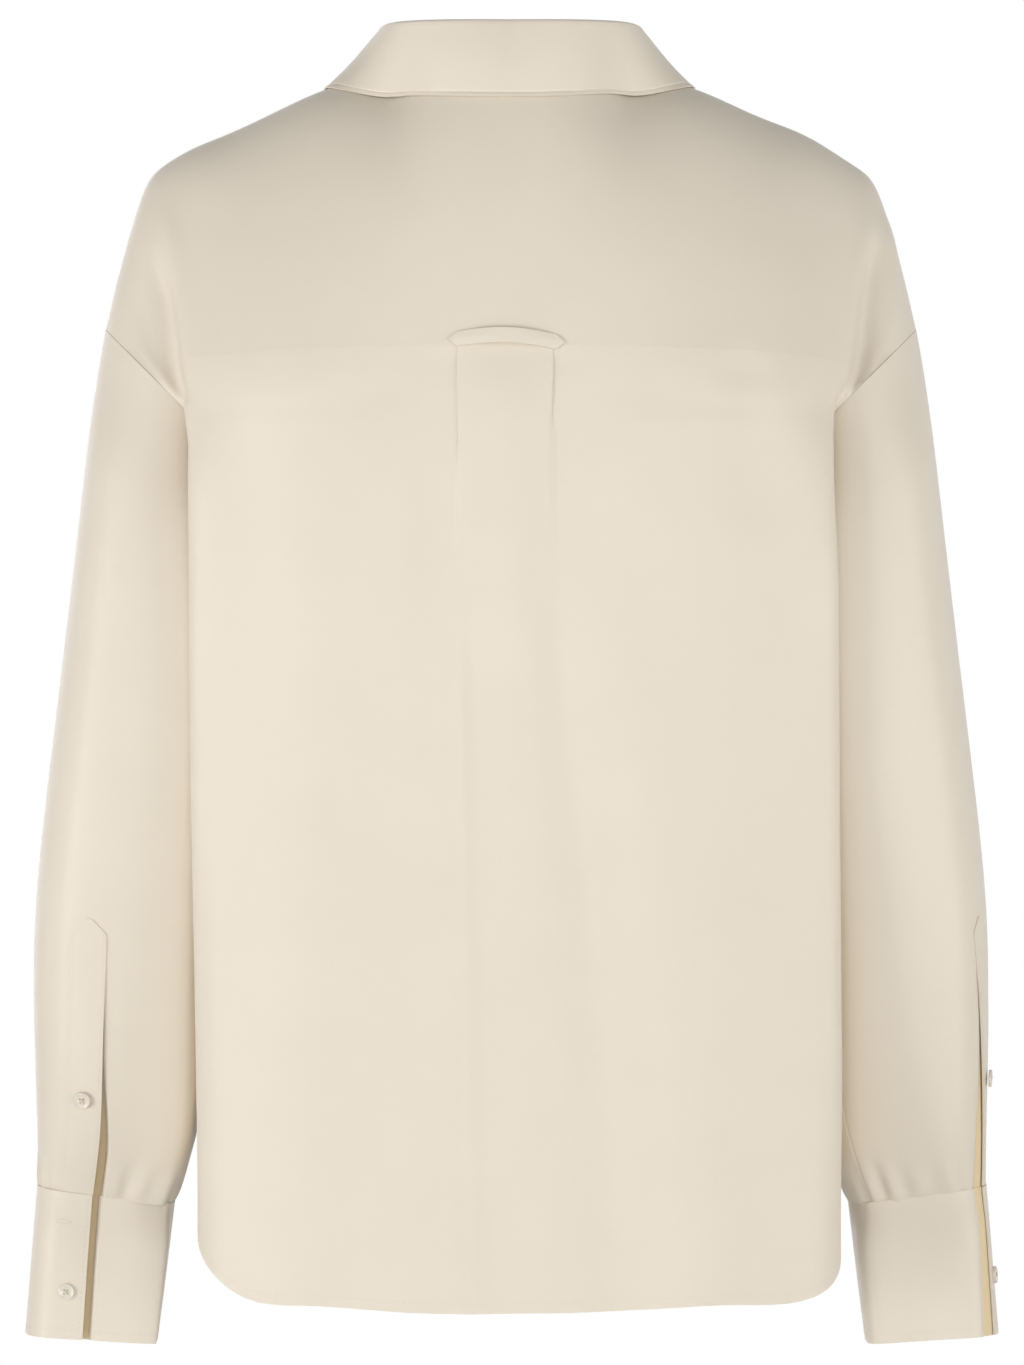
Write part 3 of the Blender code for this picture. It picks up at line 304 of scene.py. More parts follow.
def body_net(lines, rows, facing, left):
    """Control points of one quarter of the body, row by row from the hem to the shoulder seam."""
    net = []
    for name, z, back, back_width, side, front, front_width in TORSO:
        depth, width = (back, back_width) if facing > 0 else (front, front_width)
        ring = []
        for line in lines:
            x = side + 0.30 * (width - side) if line[1] is None else line[1] * width
            hem_z = line[3] if left else line[4]
            drop = CORNER_DROP if line[0] == "crease" and name == "underarm" else 0
            ring.append((x, facing * line[2] * depth, (hem_z if z is None else z) - drop))
        ring.append((side, ARM_Y, SIDE_HEM_Z if z is None else z))
        net.append(ring)
    underarm = np.array(net[-1])
    for row, share, turn, crest_x, *crease in rows:
        ring = []
        for start, (line, _, _, _, _, seam_z, top_x, top_y, top_z, sweep) in zip(underarm, lines):
            if line == "crease":
                ring.append(crease)
                continue
            top, last = np.array([top_x, top_y, top_z]), math.radians(sweep)
            seam_angle = math.asin((seam_z - start[2]) / (top_z - start[2]) * math.sin(last))
            angle = seam_angle / 2 if share is None else seam_angle + (last - seam_angle) * share
            point = start + (top - start) * (1 - math.cos(angle)) / (1 - math.cos(last))
            point[2] = start[2] + (top_z - start[2]) * math.sin(angle) / math.sin(last)
            if line == "crest":
                point[0] = crest_x
            ring.append(point)
        ring.append(armhole(turn))
        net.append(ring)
    return np.array(net, float)


BACK_NETS = {side: body_net(BACK, BACK_ROWS, 1, side > 0) for side in (1, -1)}
FRONT_NETS = {side: body_net(FRONT, FRONT_ROWS, -1, side > 0) for side in (1, -1)}


def quarter(net, up, turns, u, v):
    """The body's surface on the left, for grids of u (middle to side) and v (hem to shoulder seam)."""
    shape, u, v = np.shape(u), np.ravel(u), np.ravel(v)
    across = spline_weights(ACROSS, u)
    neck = ACROSS.index(NECK_U)
    cornered = np.zeros_like(across)                   # the same, with a corner at the neck
    cornered[:, :neck + 1] = spline_weights(ACROSS[:neck + 1], u)
    outer = u > NECK_U
    cornered[outer] = 0
    cornered[outer, neck:] = spline_weights(ACROSS[neck:], u[outer])
    near_top = smooth(v, 0.88, 1.0)[:, None]
    across = across * (1 - near_top) + cornered * near_top
    points = np.einsum("pi,pj,ijk->pk", spline_weights(up, v), across, net)
    # the side seam and the armhole are the same curves for the front, the back and the sleeve
    rise = spline_weights(up, v)
    drawn = rise @ net[:, -1]
    seam = spline_weights(SIDE_V, np.minimum(v, SIDE_V[-1])) @ net[:len(SIDE_V), -1]
    turn = along(up[len(SIDE_V) - 1:], turns, np.maximum(v, SIDE_V[-1]))
    exact = np.where((v > SIDE_V[-1])[:, None], armhole(turn), seam)
    near_side = np.clip((u - 0.84) / 0.16, 0, 1)[:, None] ** 2
    return (points + (exact - drawn) * near_side).reshape(*shape, 3)


def settled(points):
    """The body hangs a little to one side below the arms, but not where the sleeves lie against it."""
    points = points.copy()
    sway = (SWAY[0] + SWAY[1] * smooth(-points[..., 2], 0.25, 0.60)) * smooth(-points[..., 2], 0.22, 0.29)
    points[..., 0] += sway * smooth(np.abs(points[..., 1] - ARM_Y), 0.010, 0.055)
    for side, crown_x, crown in SHOULDER_CROWN:
        near = np.exp(-((points[..., 0] * side - crown_x) / 0.022) ** 2)
        points[..., 2] += crown * near * smooth(points[..., 2], -0.085, -0.045)
    return points


def back_surface(u, v):
    """The whole back: u runs from the right side (-1) past the middle (0) to the left side (1)."""
    turns = [0] + [row[2] for row in BACK_ROWS]
    left = quarter(BACK_NETS[1], UP_BACK, turns, np.abs(u), v)
    right = quarter(BACK_NETS[-1], UP_BACK, turns, np.abs(u), v)
    points = np.where((u < 0)[..., None], right, left)
    points[..., 0] *= np.where(u < 0, -1, 1)
    return settled(points)


def front_surface(u, v, side):
    """One front: u runs from the middle (0) to its side (1)."""
    turns = [360] + [row[2] for row in FRONT_ROWS]
    points = quarter(FRONT_NETS[side], UP_FRONT, turns, np.abs(u), v)
    points[..., 0] *= np.where(u < 0, -side, side)
    return settled(points)


def surface_normal(surface, u, v, side):
    """A surface's outward normal; `side` is 1 where a step in u, crossed with a step in v, points out."""
    step = 1e-3
    low_v, high_v = np.clip(v - step, 0, 1), np.clip(v + step, 0, 1)
    across = surface(u + step, v) - surface(u - step, v)
    up = surface(u, high_v) - surface(u, low_v)
    return side * unit(np.cross(across, up))


def trimmed(points, edges, groove=SEAM):
    """The grid with half a seam's groove taken off at the named edges, square to each edge."""
    points = points.copy()
    pairs = {"left": ((slice(None), 0), (slice(None), 1)),
             "right": ((slice(None), -1), (slice(None), -2)),
             "bottom": ((0,), (1,)), "top": ((-1,), (-2,))}
    for edge in edges:
        here, beside = pairs[edge]
        run = unit(np.gradient(points[here], axis=0))
        into = points[beside] - points[here]
        points[here] += unit(into - run * np.sum(run * into, axis=-1, keepdims=True)) * groove
    return points


PLEAT_PER_METRE = 0.21 / 0.0603        # u for a metre across, near the middle of the back
PLEAT_LAYER = 0.0006
FOLD_ROUND = 0.00045       # how far a pressed fold's edge is rounded out
COLUMN_STEP = 0.0125       # between two columns of a panel's grid, in u
PLEATS = [  # side, edge's x below the yoke seam, depth below the seam where the fold has opened
    (1, 0.0300, 0.078),
    (-1, -0.0233, 0.052),
]
FOLD = [  # name, out from the edge folded, opened, layers down folded, opened
    ("panel",  -0.0060, -0.0080, 0.0, 0.0),
    ("edge",    0.0000, -0.0026, 0.0, 0.0),
    ("under",   0.0000, -0.0008, 1.0, 0.6),
    ("return", -0.0100, 0.0008, 1.0, 1.4),
    ("deep",   -0.0100, 0.0026, 2.0, 2.0),
    ("foot",    0.0060, 0.0080, 2.0, 2.0),
    ("beside",  0.0270, 0.0270, 0.0, 0.0),
]
FOLD_STEPS = [0, 0.5, 0.85, 1, 1.15, 1.35, 1.5, 1.65, 1.85, 2, 2.3, 2.7, 3, 3.15, 3.35, 3.5, 3.65, 3.85, 4,
              4.25, 4.6, 5, 5.2, 5.4, 5.6, 5.8, 6]


def back_columns(v):
    """For each column of the back its u and its depth under the form, as rows run up to the yoke."""
    steps = np.array(FOLD_STEPS)
    knots = np.arange(len(FOLD))
    out, out_open = (np.interp(steps, knots, [row[i] for row in FOLD]) for i in (1, 2))
    knot = np.minimum(steps.astype(int), len(FOLD) - 2)
    levels = [np.array([row[i] for row in FOLD]) for i in (3, 4)]
    down, down_open = (level[knot] + (level[knot + 1] - level[knot]) * smooth(steps - knot)
                       for level in levels)
    turned = np.where((steps > 1) & (steps < 2), FOLD_ROUND * np.sin(np.pi * (steps - 1)), 0)
    turned -= np.where((steps > 3) & (steps < 4), FOLD_ROUND * np.sin(np.pi * (steps - 3)), 0)
    whole = []
    for side, edge_x, opened in PLEATS:
        below = np.abs(along(UP_BACK, BACK_NETS[1][:, 0, 2], v) - YOKE_SEAM_Z)
        folded = 1 - smooth(below, 0.012, opened)
        raised = (1 - smooth(below, opened, opened + 0.10)) * (0.4 + 0.6 * smooth(below, 0.0, 0.010))
        part = []
        edge_u = abs(edge_x) * PLEAT_PER_METRE
        for k in range(len(steps)):
            lateral = (out[k] + turned[k]) * folded + out_open[k] * (1 - folded)
            layers = (down[k] * folded + down_open[k] * (1 - folded)) * raised
            part.append((side * (edge_u + lateral * PLEAT_PER_METRE), layers * PLEAT_LAYER))
        for u in dense([edge_u + FOLD[-1][1] * PLEAT_PER_METRE, NECK_U, 0.84, 1.0], COLUMN_STEP)[1:]:
            part.append((side * u + 0 * v, 0 * v))
        whole.append(part)
    left, right = whole
    middle = [(u + 0 * v, 0 * v) for u in np.linspace(right[0][0][0], left[0][0][0], 14)[1:-1]]
    whole = right[::-1] + middle + left
    return np.array([c[0] for c in whole]).T, np.array([c[1] for c in whole]).T


# Soft ridges and troughs that the back and the yoke hang in: the height of each, its half width at its
# start and at its end, and x and z of points along it.
BACK_FOLDS = [
    ("left crest", 0.0022, 0.0060, 0.0070, [(0.1973, -0.0597), (0.1906, -0.0878), (0.1838, -0.1216),
                                            (0.1810, -0.1558), (0.1788, -0.1828), (0.1776, -0.2059)]),
    ("left valley", -0.0045, 0.0050, 0.0060, [(0.2034, -0.0872), (0.1950, -0.1210), (0.1899, -0.1464),
                                              (0.1854, -0.1689), (0.1809, -0.1830)]),
    ("right crest", 0.0020, 0.0060, 0.0070, [(-0.2090, -0.0620), (-0.1985, -0.0950), (-0.1905, -0.1260),
                                             (-0.1860, -0.1570), (-0.1835, -0.1950)]),
    ("right valley", -0.0045, 0.0050, 0.0055, [(-0.2080, -0.0780), (-0.2030, -0.1100), (-0.1984, -0.1464),
                                               (-0.1944, -0.1717), (-0.1888, -0.1886)]),
    ("right streak", 0.0025, 0.0040, 0.0045, [(-0.2122, -0.0671), (-0.2144, -0.0982), (-0.2156, -0.1377),
                                              (-0.2156, -0.1546)]),
    ("pleat swell", 0.0030, 0.0240, 0.0200, [(0.0035, -0.1460), (0.0030, -0.2400), (0.0020, -0.3400)]),
    ("left edge", 0.0014, 0.0035, 0.0045, [(0.1765, -0.2150), (0.1765, -0.4000), (0.1790, -0.6400)]),
    ("right edge", 0.0014, 0.0035, 0.0045, [(-0.1790, -0.2150), (-0.1800, -0.4000), (-0.1830, -0.6400)]),
    ("pleat ridge", 0.0015, 0.0050, 0.0080, [(0.0305, -0.1963), (0.0287, -0.3185), (0.0259, -0.4575),
                                             (0.0239, -0.5686), (0.0206, -0.6853), (0.0200, -0.7100)]),
    ("pleat trough", -0.0038, 0.0090, 0.0250, [(-0.0246, -0.2600), (-0.0290, -0.3200), (-0.0350, -0.3796),
                                               (-0.0470, -0.4852), (-0.0570, -0.5964), (-0.0620, -0.6853),
                                               (-0.0640, -0.7200)]),
    ("hip ridge", 0.0016, 0.0240, 0.0300, [(-0.0456, -0.2400), (-0.0700, -0.3796), (-0.0980, -0.5130),
                                           (-0.1080, -0.6853), (-0.1080, -0.7200)]),
    ("right blade", -0.0018, 0.0130, 0.0150, [(-0.1317, -0.1450), (-0.1340, -0.1907), (-0.1373, -0.2600)]),
    ("left blade", -0.0010, 0.0240, 0.0260, [(0.1423, -0.1500), (0.1384, -0.2907), (0.1350, -0.4500)]),
    ("left ridge", 0.0012, 0.0240, 0.0300, [(0.1040, -0.2200), (0.1006, -0.3463), (0.0950, -0.5130),
                                            (0.0922, -0.6900)]),
    ("left inner ridge", 0.0012, 0.0110, 0.0120, [(0.0645, -0.1700), (0.0617, -0.2907), (0.0600, -0.3600)]),
]


def folded_out(folds, x, z):
    """How far the cloth stands out of its form at x and z, for a table of soft ridges and troughs."""
    height = np.zeros_like(x)
    pieces = 24                # straight pieces that each fold's line is measured by
    for _, rise, width0, width1, line in folds:
        path = along(np.linspace(0, 1, len(line)), line, np.linspace(0, 1, pieces + 1))
        off, along_it = np.full(x.shape, np.inf), np.zeros(x.shape)
        for k, ((x0, z0), (x1, z1)) in enumerate(zip(path[:-1], path[1:])):
            dx, dz = x1 - x0, z1 - z0
            t = np.clip(((x - x0) * dx + (z - z0) * dz) / (dx ** 2 + dz ** 2), 0, 1)
            away = np.hypot(x - x0 - t * dx, z - z0 - t * dz)
            along_it = np.where(away < off, (k + t) / pieces, along_it)
            off = np.minimum(off, away)
        width = width0 + (width1 - width0) * along_it
        height += (rise * np.exp(-(off / width) ** 2) * smooth(along_it, 0, 0.25)
                   * (1 - smooth(along_it, 0.8, 1)))
    return height


YOKE_RIDGE = 0.0022        # the back hangs from the yoke's seam, which stands out at the sides


def hung(points, normals, u):
    """The points, moved square to the form onto the folds, but not at the armholes and the side seams."""
    out = folded_out(BACK_FOLDS, points[..., 0], points[..., 2])
    from_seam = points[..., 2] - YOKE_SEAM_Z + 0.007 * (points[..., 0] / 0.18) ** 2
    slope = np.where(from_seam > 0, np.exp(-from_seam / 0.034), np.exp(from_seam / 0.080))
    out += YOKE_RIDGE * slope * smooth(np.abs(points[..., 0]), 0.032, 0.080)
    # under the arms' height the drawn form bends sharply, so the cloth is drawn in there
    bend = smooth(points[..., 2], -0.194, -0.171) * (1 - smooth(points[..., 2], -0.171, -0.090))
    across = np.abs(points[..., 0])
    out -= 0.0019 * bend * smooth(across, 0.030, 0.090) * (1 - smooth(across, 0.150, 0.175))
    out *= (1 - smooth(np.abs(u), 0.955, 1.0)) * smooth(points[..., 1], -0.030, 0.005)
    return points + normals * out[..., None]


# Sewing thread: about three stitches to the centimetre, drawn a little thicker than real ones.
STITCH, STITCH_EVERY, STITCH_WIDTH = 0.0021, 0.0029, 0.00034


def sewing_thread(name):
    """Spun silk thread, ivory and a little glossier than the cloth, with its twist as fine bands."""
    material = bpy.data.materials.new(name)
    material.use_nodes = True
    tree = material.node_tree
    where = add_node(tree, "ShaderNodeTexCoord").outputs["Object"]
    twist = add_node(tree, "ShaderNodeTexNoise", [("Vector", where)], in_Scale=2500.0).outputs[0]
    shade = add_node(tree, "ShaderNodeMapRange", [("Value", twist)], in_3=0.86, in_4=1.0).outputs[0]
    colour = add_node(tree, "ShaderNodeHueSaturation", [("Value", shade)],
                      in_Color=linear("#E6D9C4")).outputs[0]
    shader = tree.nodes["Principled BSDF"]
    tree.links.new(colour, shader.inputs["Base Color"])
    shader.inputs["Roughness"].default_value = 0.5
    return material


def inset_line(middle, offset, thickness, edge, distance):
    """The line on a shell's outer face at a distance from its first or last row, and its normals there."""
    middle, offset = (middle, offset) if edge == "first" else (middle[::-1], offset[::-1])
    run = run_length(middle, 0)

    def at_distance(grid):
        return np.array([[np.interp(distance, run[:, c], grid[:, c, a]) for a in range(3)]
                         for c in range(grid.shape[1])])

    return at_distance(middle + offset * thickness / 2), unit(at_distance(offset))


def stitches(name, lines, material, every=STITCH_EVERY, length=STITCH):
    """One mesh of small sewn stitches, half sunk in the cloth, along lines of points and normals."""
    corners, faces = [], []
    for line, normals in lines:
        run = run_length(line[:, None], 0)[:, 0]
        for start in np.arange(every, run[-1] - length, every):
            places = [np.array([np.interp(start + part * length, run, line[:, a]) for a in range(3)])
                      for part in (0, 0.5, 1)]
            out = unit(np.array([np.interp(start, run, normals[:, a]) for a in range(3)]))
            aside = unit(np.cross(places[2] - places[0], out)) * STITCH_WIDTH / 2
            low = -out * STITCH_WIDTH * 0.35
            k = len(corners)
            corners += [places[0] + low, places[2] + low, places[1] + aside, places[1] - aside,
                        places[1] + out * STITCH_WIDTH * 0.55]
            faces += [(k, k + 2, k + 4), (k, k + 4, k + 3), (k + 1, k + 4, k + 2), (k + 1, k + 3, k + 4),
                      (k, k + 3, k + 2), (k + 1, k + 2, k + 3)]
    mesh = bpy.data.meshes.new(name)
    mesh.from_pydata([tuple(c) for c in corners], [], faces)
    turned_outwards(mesh)
    mesh.materials.append(material)
    mesh.shade_smooth()
    seam = in_scene(name, mesh)
    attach(seam, "root")
    return seam


thread = sewing_thread("ivory_silk_thread")

v = np.concatenate([np.linspace(0, 0.6, 130), np.linspace(0.6, YOKE_V, 60)[1:]])
u, down = back_columns(v)
v = np.repeat(v[:, None], u.shape[1], axis=1)
back_points, back_normals = back_surface(u, v), surface_normal(back_surface, u, v, -1)
back_points = hung(back_points, back_normals, u) - back_normals * down[..., None]
back_points = trimmed(trimmed(back_points, ["left", "right"]), ["top"], PRESSED_SEAM)
back_offset = outward(back_points, -1)
back = cloth_shell("silk_back", back_points, back_offset, SILK, silk_body)
stitches("stitches_back_hem", [inset_line(back_points, back_offset, SILK, "first", 0.0055)], thread)
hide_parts("back")


# ---------------------------------------------------------------- the yoke
# A double yoke over the shoulders, cut in one piece on the fold of its straight back edge. The back's
# pleat, the fronts and the collar's stand are sewn between its two layers.
half = dense([0.0, NECK_U, 1.0], COLUMN_STEP)
u, v = np.meshgrid(np.concatenate([-half[:0:-1], half]), np.linspace(YOKE_V, 1, 76))
yoke_points = hung(back_surface(u, v), surface_normal(back_surface, u, v, -1), u)
yoke_points = trimmed(trimmed(yoke_points, ["left", "right", "top"]), ["bottom"], PRESSED_SEAM)
yoke = cloth_shell("silk_yoke", yoke_points, outward(yoke_points, -1), SILK, silk_body)
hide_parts("yoke")


# ---------------------------------------------------------------- the fronts and their bands
# Two fronts, each with a straight band of interfaced silk down its edge. The right one laps over the
# left, and both are drawn aside at the open neck.
SIDES = ((1, "left"), (-1, "right"))
BAND_WIDTH = 0.0310
BAND_SEAM_X = 0.0158       # from the middle of the front to the seam of a band
FRONT_PER_METRE = 0.21 / 0.34 / 0.168      # u for a metre across, near the middle of the front
OPEN_FROM = -0.135         # above this height the fronts part into the open neck
LAP = 0.0015               # the right band lies this far outside the left one


def front_seam_u(v, side):
    """Where the band is sewn on: parallel to the middle, and drawn aside at the open neck."""
    height = along(UP_FRONT, FRONT_NETS[side][:, 0, 2], v)
    return BAND_SEAM_X * FRONT_PER_METRE + 0.225 * smooth(height, OPEN_FROM, -0.080)


# Soft falls of cloth from the bust and from the arms, below the collar's points.
FRONT_FOLDS = [
    ("left bust", 0.0030, 0.0180, 0.0260, [(0.0950, -0.1400), (0.1000, -0.3000), (0.0980, -0.4800),
                                           (0.0940, -0.6700)]),
    ("left trough", -0.0024, 0.0110, 0.0180, [(0.0600, -0.1700), (0.0640, -0.3300), (0.0600, -0.5000),
                                              (0.0560, -0.6800)]),
    ("left arm", -0.0020, 0.0110, 0.0150, [(0.1400, -0.1500), (0.1330, -0.2700), (0.1290, -0.3900),
                                           (0.1300, -0.5200)]),
    ("right bust", 0.0026, 0.0200, 0.0280, [(-0.0880, -0.1500), (-0.0940, -0.3200), (-0.1000, -0.5000),
                                            (-0.1000, -0.6700)]),
    ("right trough", -0.0026, 0.0110, 0.0200, [(-0.0540, -0.2300), (-0.0570, -0.3800), (-0.0640, -0.5200),
                                               (-0.0690, -0.6800)]),
    ("right arm", -0.0018, 0.0100, 0.0150, [(-0.1430, -0.1450), (-0.1370, -0.2400), (-0.1310, -0.3500),
                                            (-0.1280, -0.4600)]),
]


def front_grid(side, u, v):
    """Points on a front and their u on the form; u runs from the band's seam (0) to the side seam (1)."""
    seam = front_seam_u(v, side)
    u = seam + (1 - seam) * u
    points = front_surface(u, v, side)
    out = folded_out(FRONT_FOLDS, points[..., 0], points[..., 2]) * smooth(u, 0.16, 0.30)
    out *= (1 - smooth(u, 0.90, 1.0)) * smooth(-points[..., 2], 0.125, 0.165)
    normals = surface_normal(lambda a, b: front_surface(a, b, side), u, v, side)
    return points + normals * out[..., None], u


def lift_right(points, normals, u, side):
    """The right front laps over the left, so it lies two layers further out along its edge."""
    if side > 0:
        return points
    return points + normals * (LAP * (1 - smooth(u, 0.10, 0.34)))[..., None]


def band_grid(side, w, v):
    """w runs from the band's free edge (0) to its seam with the front (1)."""
    u = front_seam_u(v, side) - (1 - w) * BAND_WIDTH * FRONT_PER_METRE
    surface = lambda a, b: front_surface(a, b, side)
    points = surface(u, v)
    normal = surface_normal(surface, u, v, side)
    return points + (normal * LAP if side < 0 else 0)


for side, name in SIDES:
    surface = lambda a, b: front_surface(a, b, side)
    u, v = np.meshgrid(dense([0.0, 0.40, 0.84, 1.0], COLUMN_STEP), dense([0.0, 0.6, 0.72, 1.0], 0.006))
    points, true_u = front_grid(side, u, v)
    points = lift_right(points, surface_normal(surface, true_u, v, side), true_u, side)
    points = trimmed(points, ["left", "right", "top"])
    offset = outward(points, side)
    front = cloth_shell("silk_front_" + name, points, offset, SILK, silk_body)
    stitches("stitches_front_hem_" + name, [inset_line(points, offset, SILK, "first", 0.0055)], thread)
    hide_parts("front_" + name)
    w, v = np.meshgrid(np.linspace(0, 1, 13), dense([0.0, 1.0], 0.006))
    points = trimmed(band_grid(side, w, v), ["right", "top"])
    offset = outward(points, side)
    band = cloth_shell("silk_band_" + name, points, offset, FACED, silk_body)
    turned = np.swapaxes(points, 0, 1), np.swapaxes(offset, 0, 1)
    edges = [inset_line(*turned, FACED, edge, 0.0022) for edge in ("first", "last")]
    stitches("stitches_band_" + name, edges, thread)
    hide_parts("band_" + name)


# ---------------------------------------------------------------- the sleeves
# Each sleeve is one piece with its seam under the arm, set into the dropped armhole, and gathered into
# its cuff. A slit runs up from the cuff.
# Rings down the arm. Turns run as on the armhole, and `lean` is how far the ring's outer side is raised.
SLEEVE = [  # name, centre x, y, z, half width, half depth, lean, turn of the seam on the left, on the right
    ("armhole", 0.1885, -0.0090, -0.17725, 0.0599, 0.0650, 44.8, 0, 0),
    ("arm",     0.2000, -0.0075, -0.2380, 0.0480, 0.0690, 27.0, 0, 0),
    ("biceps",  0.2075, -0.0068, -0.3180, 0.0470, 0.0680, 12.0, -4, 8),
    ("elbow",   0.2156, -0.0088, -0.4040, 0.0492, 0.0640, 5.0, -10, 18),
    ("forearm", 0.2215, -0.0130, -0.4720, 0.0500, 0.0600, 1.0, -16, 25),
    ("lower",   0.2237, -0.0175, -0.5400, 0.0485, 0.0550, 0.0, -15, 34),
    ("gathers", 0.2257, -0.0235, -0.5920, 0.0455, 0.0470, 2.0, -13, 42),
    ("cuff",    0.2322, -0.0280, -0.6285, 0.0390, 0.0330, 7.0, -11, 46),
]
RINGS_UP = [0.0, 0.16, 0.34, 0.52, 0.66, 0.80, 0.91, 1.0]
SLIT_FROM_SEAM = 125       # degrees from the underarm seam to the slit
FLATTER = 0.45             # the rings are this much flatter at front and back than an ellipse
SLIT_TOP = 0.745           # how far down the sleeve the slit begins
SLIT_WIDTH = 0.0030
BESIDE = 0.0019            # the sleeve starts this far inside the body's wall under the arm


def ring_points(table, places, turn_column, turn, s, outwards=0.0):
    """Points at `turn` degrees from the underarm seam and `s` down a sleeve or a cuff."""
    flat = FLATTER * (smooth(s, 0.02, 0.16) if len(table) > 3 else 1.0)
    columns = np.array([row[1:] for row in table], float)
    x, y, z, width, depth, lean, _, _ = np.moveaxis(along(places, columns, s), -1, 0)
    seam = along(places, columns[:, turn_column], s)
    angle, lean = np.radians(turn + seam), np.radians(lean)
    c, n = np.cos(angle), np.sin(angle)
    n = n * (1 + flat * (1 - n * n))
    width, depth = width + outwards, depth + outwards
    return np.stack([x - width * c * np.cos(lean), y + depth * n, z - width * c * np.sin(lean)], axis=-1)


def metres_to_turn(table, places, turn_column, turn, s):
    """Degrees for each metre round a ring, at a turn."""
    one = ring_points(table, places, turn_column, turn + 1.0, s)
    other = ring_points(table, places, turn_column, turn - 1.0, s)
    return 2.0 / np.linalg.norm(one - other, axis=-1)


def sleeve_points(side, w, s, outwards=0.0):
    """Points on a sleeve: `w` in metres round from the slit, or in turns where it is a whole grid."""
    column = 6 if side > 0 else 7
    turn = SLIT_FROM_SEAM + w
    # below the arm the sleeve turns back beside the body's wall, so it starts inside that
    beside = smooth(np.cos(np.radians(turn)), -0.35, 0.45) * (1 - smooth(s, 0.06, 0.20))
    points = ring_points(SLEEVE, RINGS_UP, column, turn, s, outwards - BESIDE * beside)
    # at the armhole the sleeve starts a seam's gap from the body
    start = 2 * SEAM * (1 - smooth(s, 0.0, 0.10))
    points[..., 0] += start * 0.705
    points[..., 2] -= start * 0.709
    points[..., 0] *= side
    return points


def sleeve_step(side, s):
    """Degrees for each metre round the sleeve, at its slit."""
    return metres_to_turn(SLEEVE, RINGS_UP, 6 if side > 0 else 7, SLIT_FROM_SEAM, s)


def gather(turn, s):
    """The sleeve's fullness, drawn up into small uneven folds above the cuff, but not beside the slit."""
    uneven = np.radians(turn * 16.0 + 60 * np.sin(np.radians(turn * 2)))
    wave = np.sin(uneven) * (1 + 0.5 * np.sin(np.radians(turn * 5)))
    clear = smooth(np.abs((turn + 180) % 360 - 180 - SLIT_FROM_SEAM), 22, 44)
    return 0.0011 * wave * clear * smooth(s, 0.93, 0.990) * (1 - 0.45 * smooth(s, 0.990, 1.0))


SLIT_DIP = {1: 0.0050, -1: 0.0030}     # the edge under the strip is turned in this far at the cuff
OPEN_EDGE = {1: 0.0048, -1: 0.0130}    # how wide it stands open there, on the left and on the right
PAINTED_SHADE_FROM = {1: 0.0023, -1: 0.0005}  # shade is painted where the cloth is turned in this far


def rising_floor(side, w, gap):
    """On the right, which is seen from the side, the open edge's floor comes up again under the strip."""
    return 1 - (0.75 * gap * smooth(w, -0.0215, -0.0120) if side < 0 else 0)


def slit_dip(side, w, s):
    """How far the sleeve is turned in along the slit's inner edge, for w in metres from the slit."""
    gap = smooth(s, 0.80, 0.95) if side > 0 else smooth(s, 0.76, 0.94)
    depth = 0.0016 * smooth(s, SLIT_TOP, 0.80) + (SLIT_DIP[side] - 0.0016) * gap
    return depth * smooth(w + 0.0108 + OPEN_EDGE[side] * gap, 0, 0.0022) * rising_floor(side, w, gap)


def sleeve_grid(side, rows):
    """A sleeve's points, how many rows are closed above the slit, and where shade is painted in its open
    edge.
    """
    turns, dips, sewn = [], [], []
    for s in rows:
        step = sleeve_step(side, s)
        start = list(np.linspace(0.0010, 0.0150, 9) * step)
        end = list(360 - np.linspace(0.0280, 0.0008, 35) * step)
        seam = list(360 - SLIT_FROM_SEAM + np.linspace(-0.0020, 0.0020, 6) * step)
        row = np.array(start + list(np.linspace(start[-1], seam[0], 90)[1:-1]) + seam
                       + list(np.linspace(seam[-1], end[0], 50)[1:-1]) + end)
        width = SLIT_WIDTH / 2 * step * smooth(s, SLIT_TOP - 0.02, SLIT_TOP + 0.10)
        if s <= SLIT_TOP + 1e-9:
            row[0], row[-1] = 0.0, 360.0
        else:
            row[0], row[-1] = max(width, 0.0004 * step), 360 - max(width, 0.0004 * step)
        turns.append(row)
        away = np.minimum(row, 0) + (row - 360) * (row > 180) - 999 * (row <= 180)
        dips.append(slit_dip(side, np.clip(away / step, -1, 0), s))
        sewn.append(0.0005 * np.exp(-((row - 360 + SLIT_FROM_SEAM) / step / 0.0009) ** 2))
    turns, dips, sewn = np.array(turns), np.array(dips), np.array(sewn)
    s = np.repeat(rows[:, None], turns.shape[1], axis=1)
    under_cuff = 0.0010 * smooth(s, 1.0, 1.003)
    points = sleeve_points(side, turns, s, gather(turns + SLIT_FROM_SEAM, s) - sewn - under_cuff)
    points[..., 1] -= dips
    # where it lies beside the body, the sleeve is pressed out flat towards the back
    seam = along(RINGS_UP, [row[7 if side > 0 else 8] for row in SLEEVE], np.minimum(s, 1))
    around = (turns + SLIT_FROM_SEAM + seam) % 360
    around = (around + 180) % 360 - 180
    beside = np.exp(-((around - 30) / 24) ** 2) * smooth(s, 0.10, 0.30) * (1 - 0.1 * smooth(s, 0.90, 1.0))
    points[..., 1] += beside * (0.0100 if side > 0 else 0.0045)
    if side > 0:
        points[..., 0] -= (0.0040 * np.exp(-((around - 36) / 16) ** 2) * smooth(s, 0.25, 0.45)
                           * (1 - 0.3 * smooth(s, 0.9, 1)))
    closed = int(np.sum(rows <= SLIT_TOP + 1e-9))
    points[:closed, -1] = points[:closed, 0]
    return points, closed, dips > PAINTED_SHADE_FROM[side]


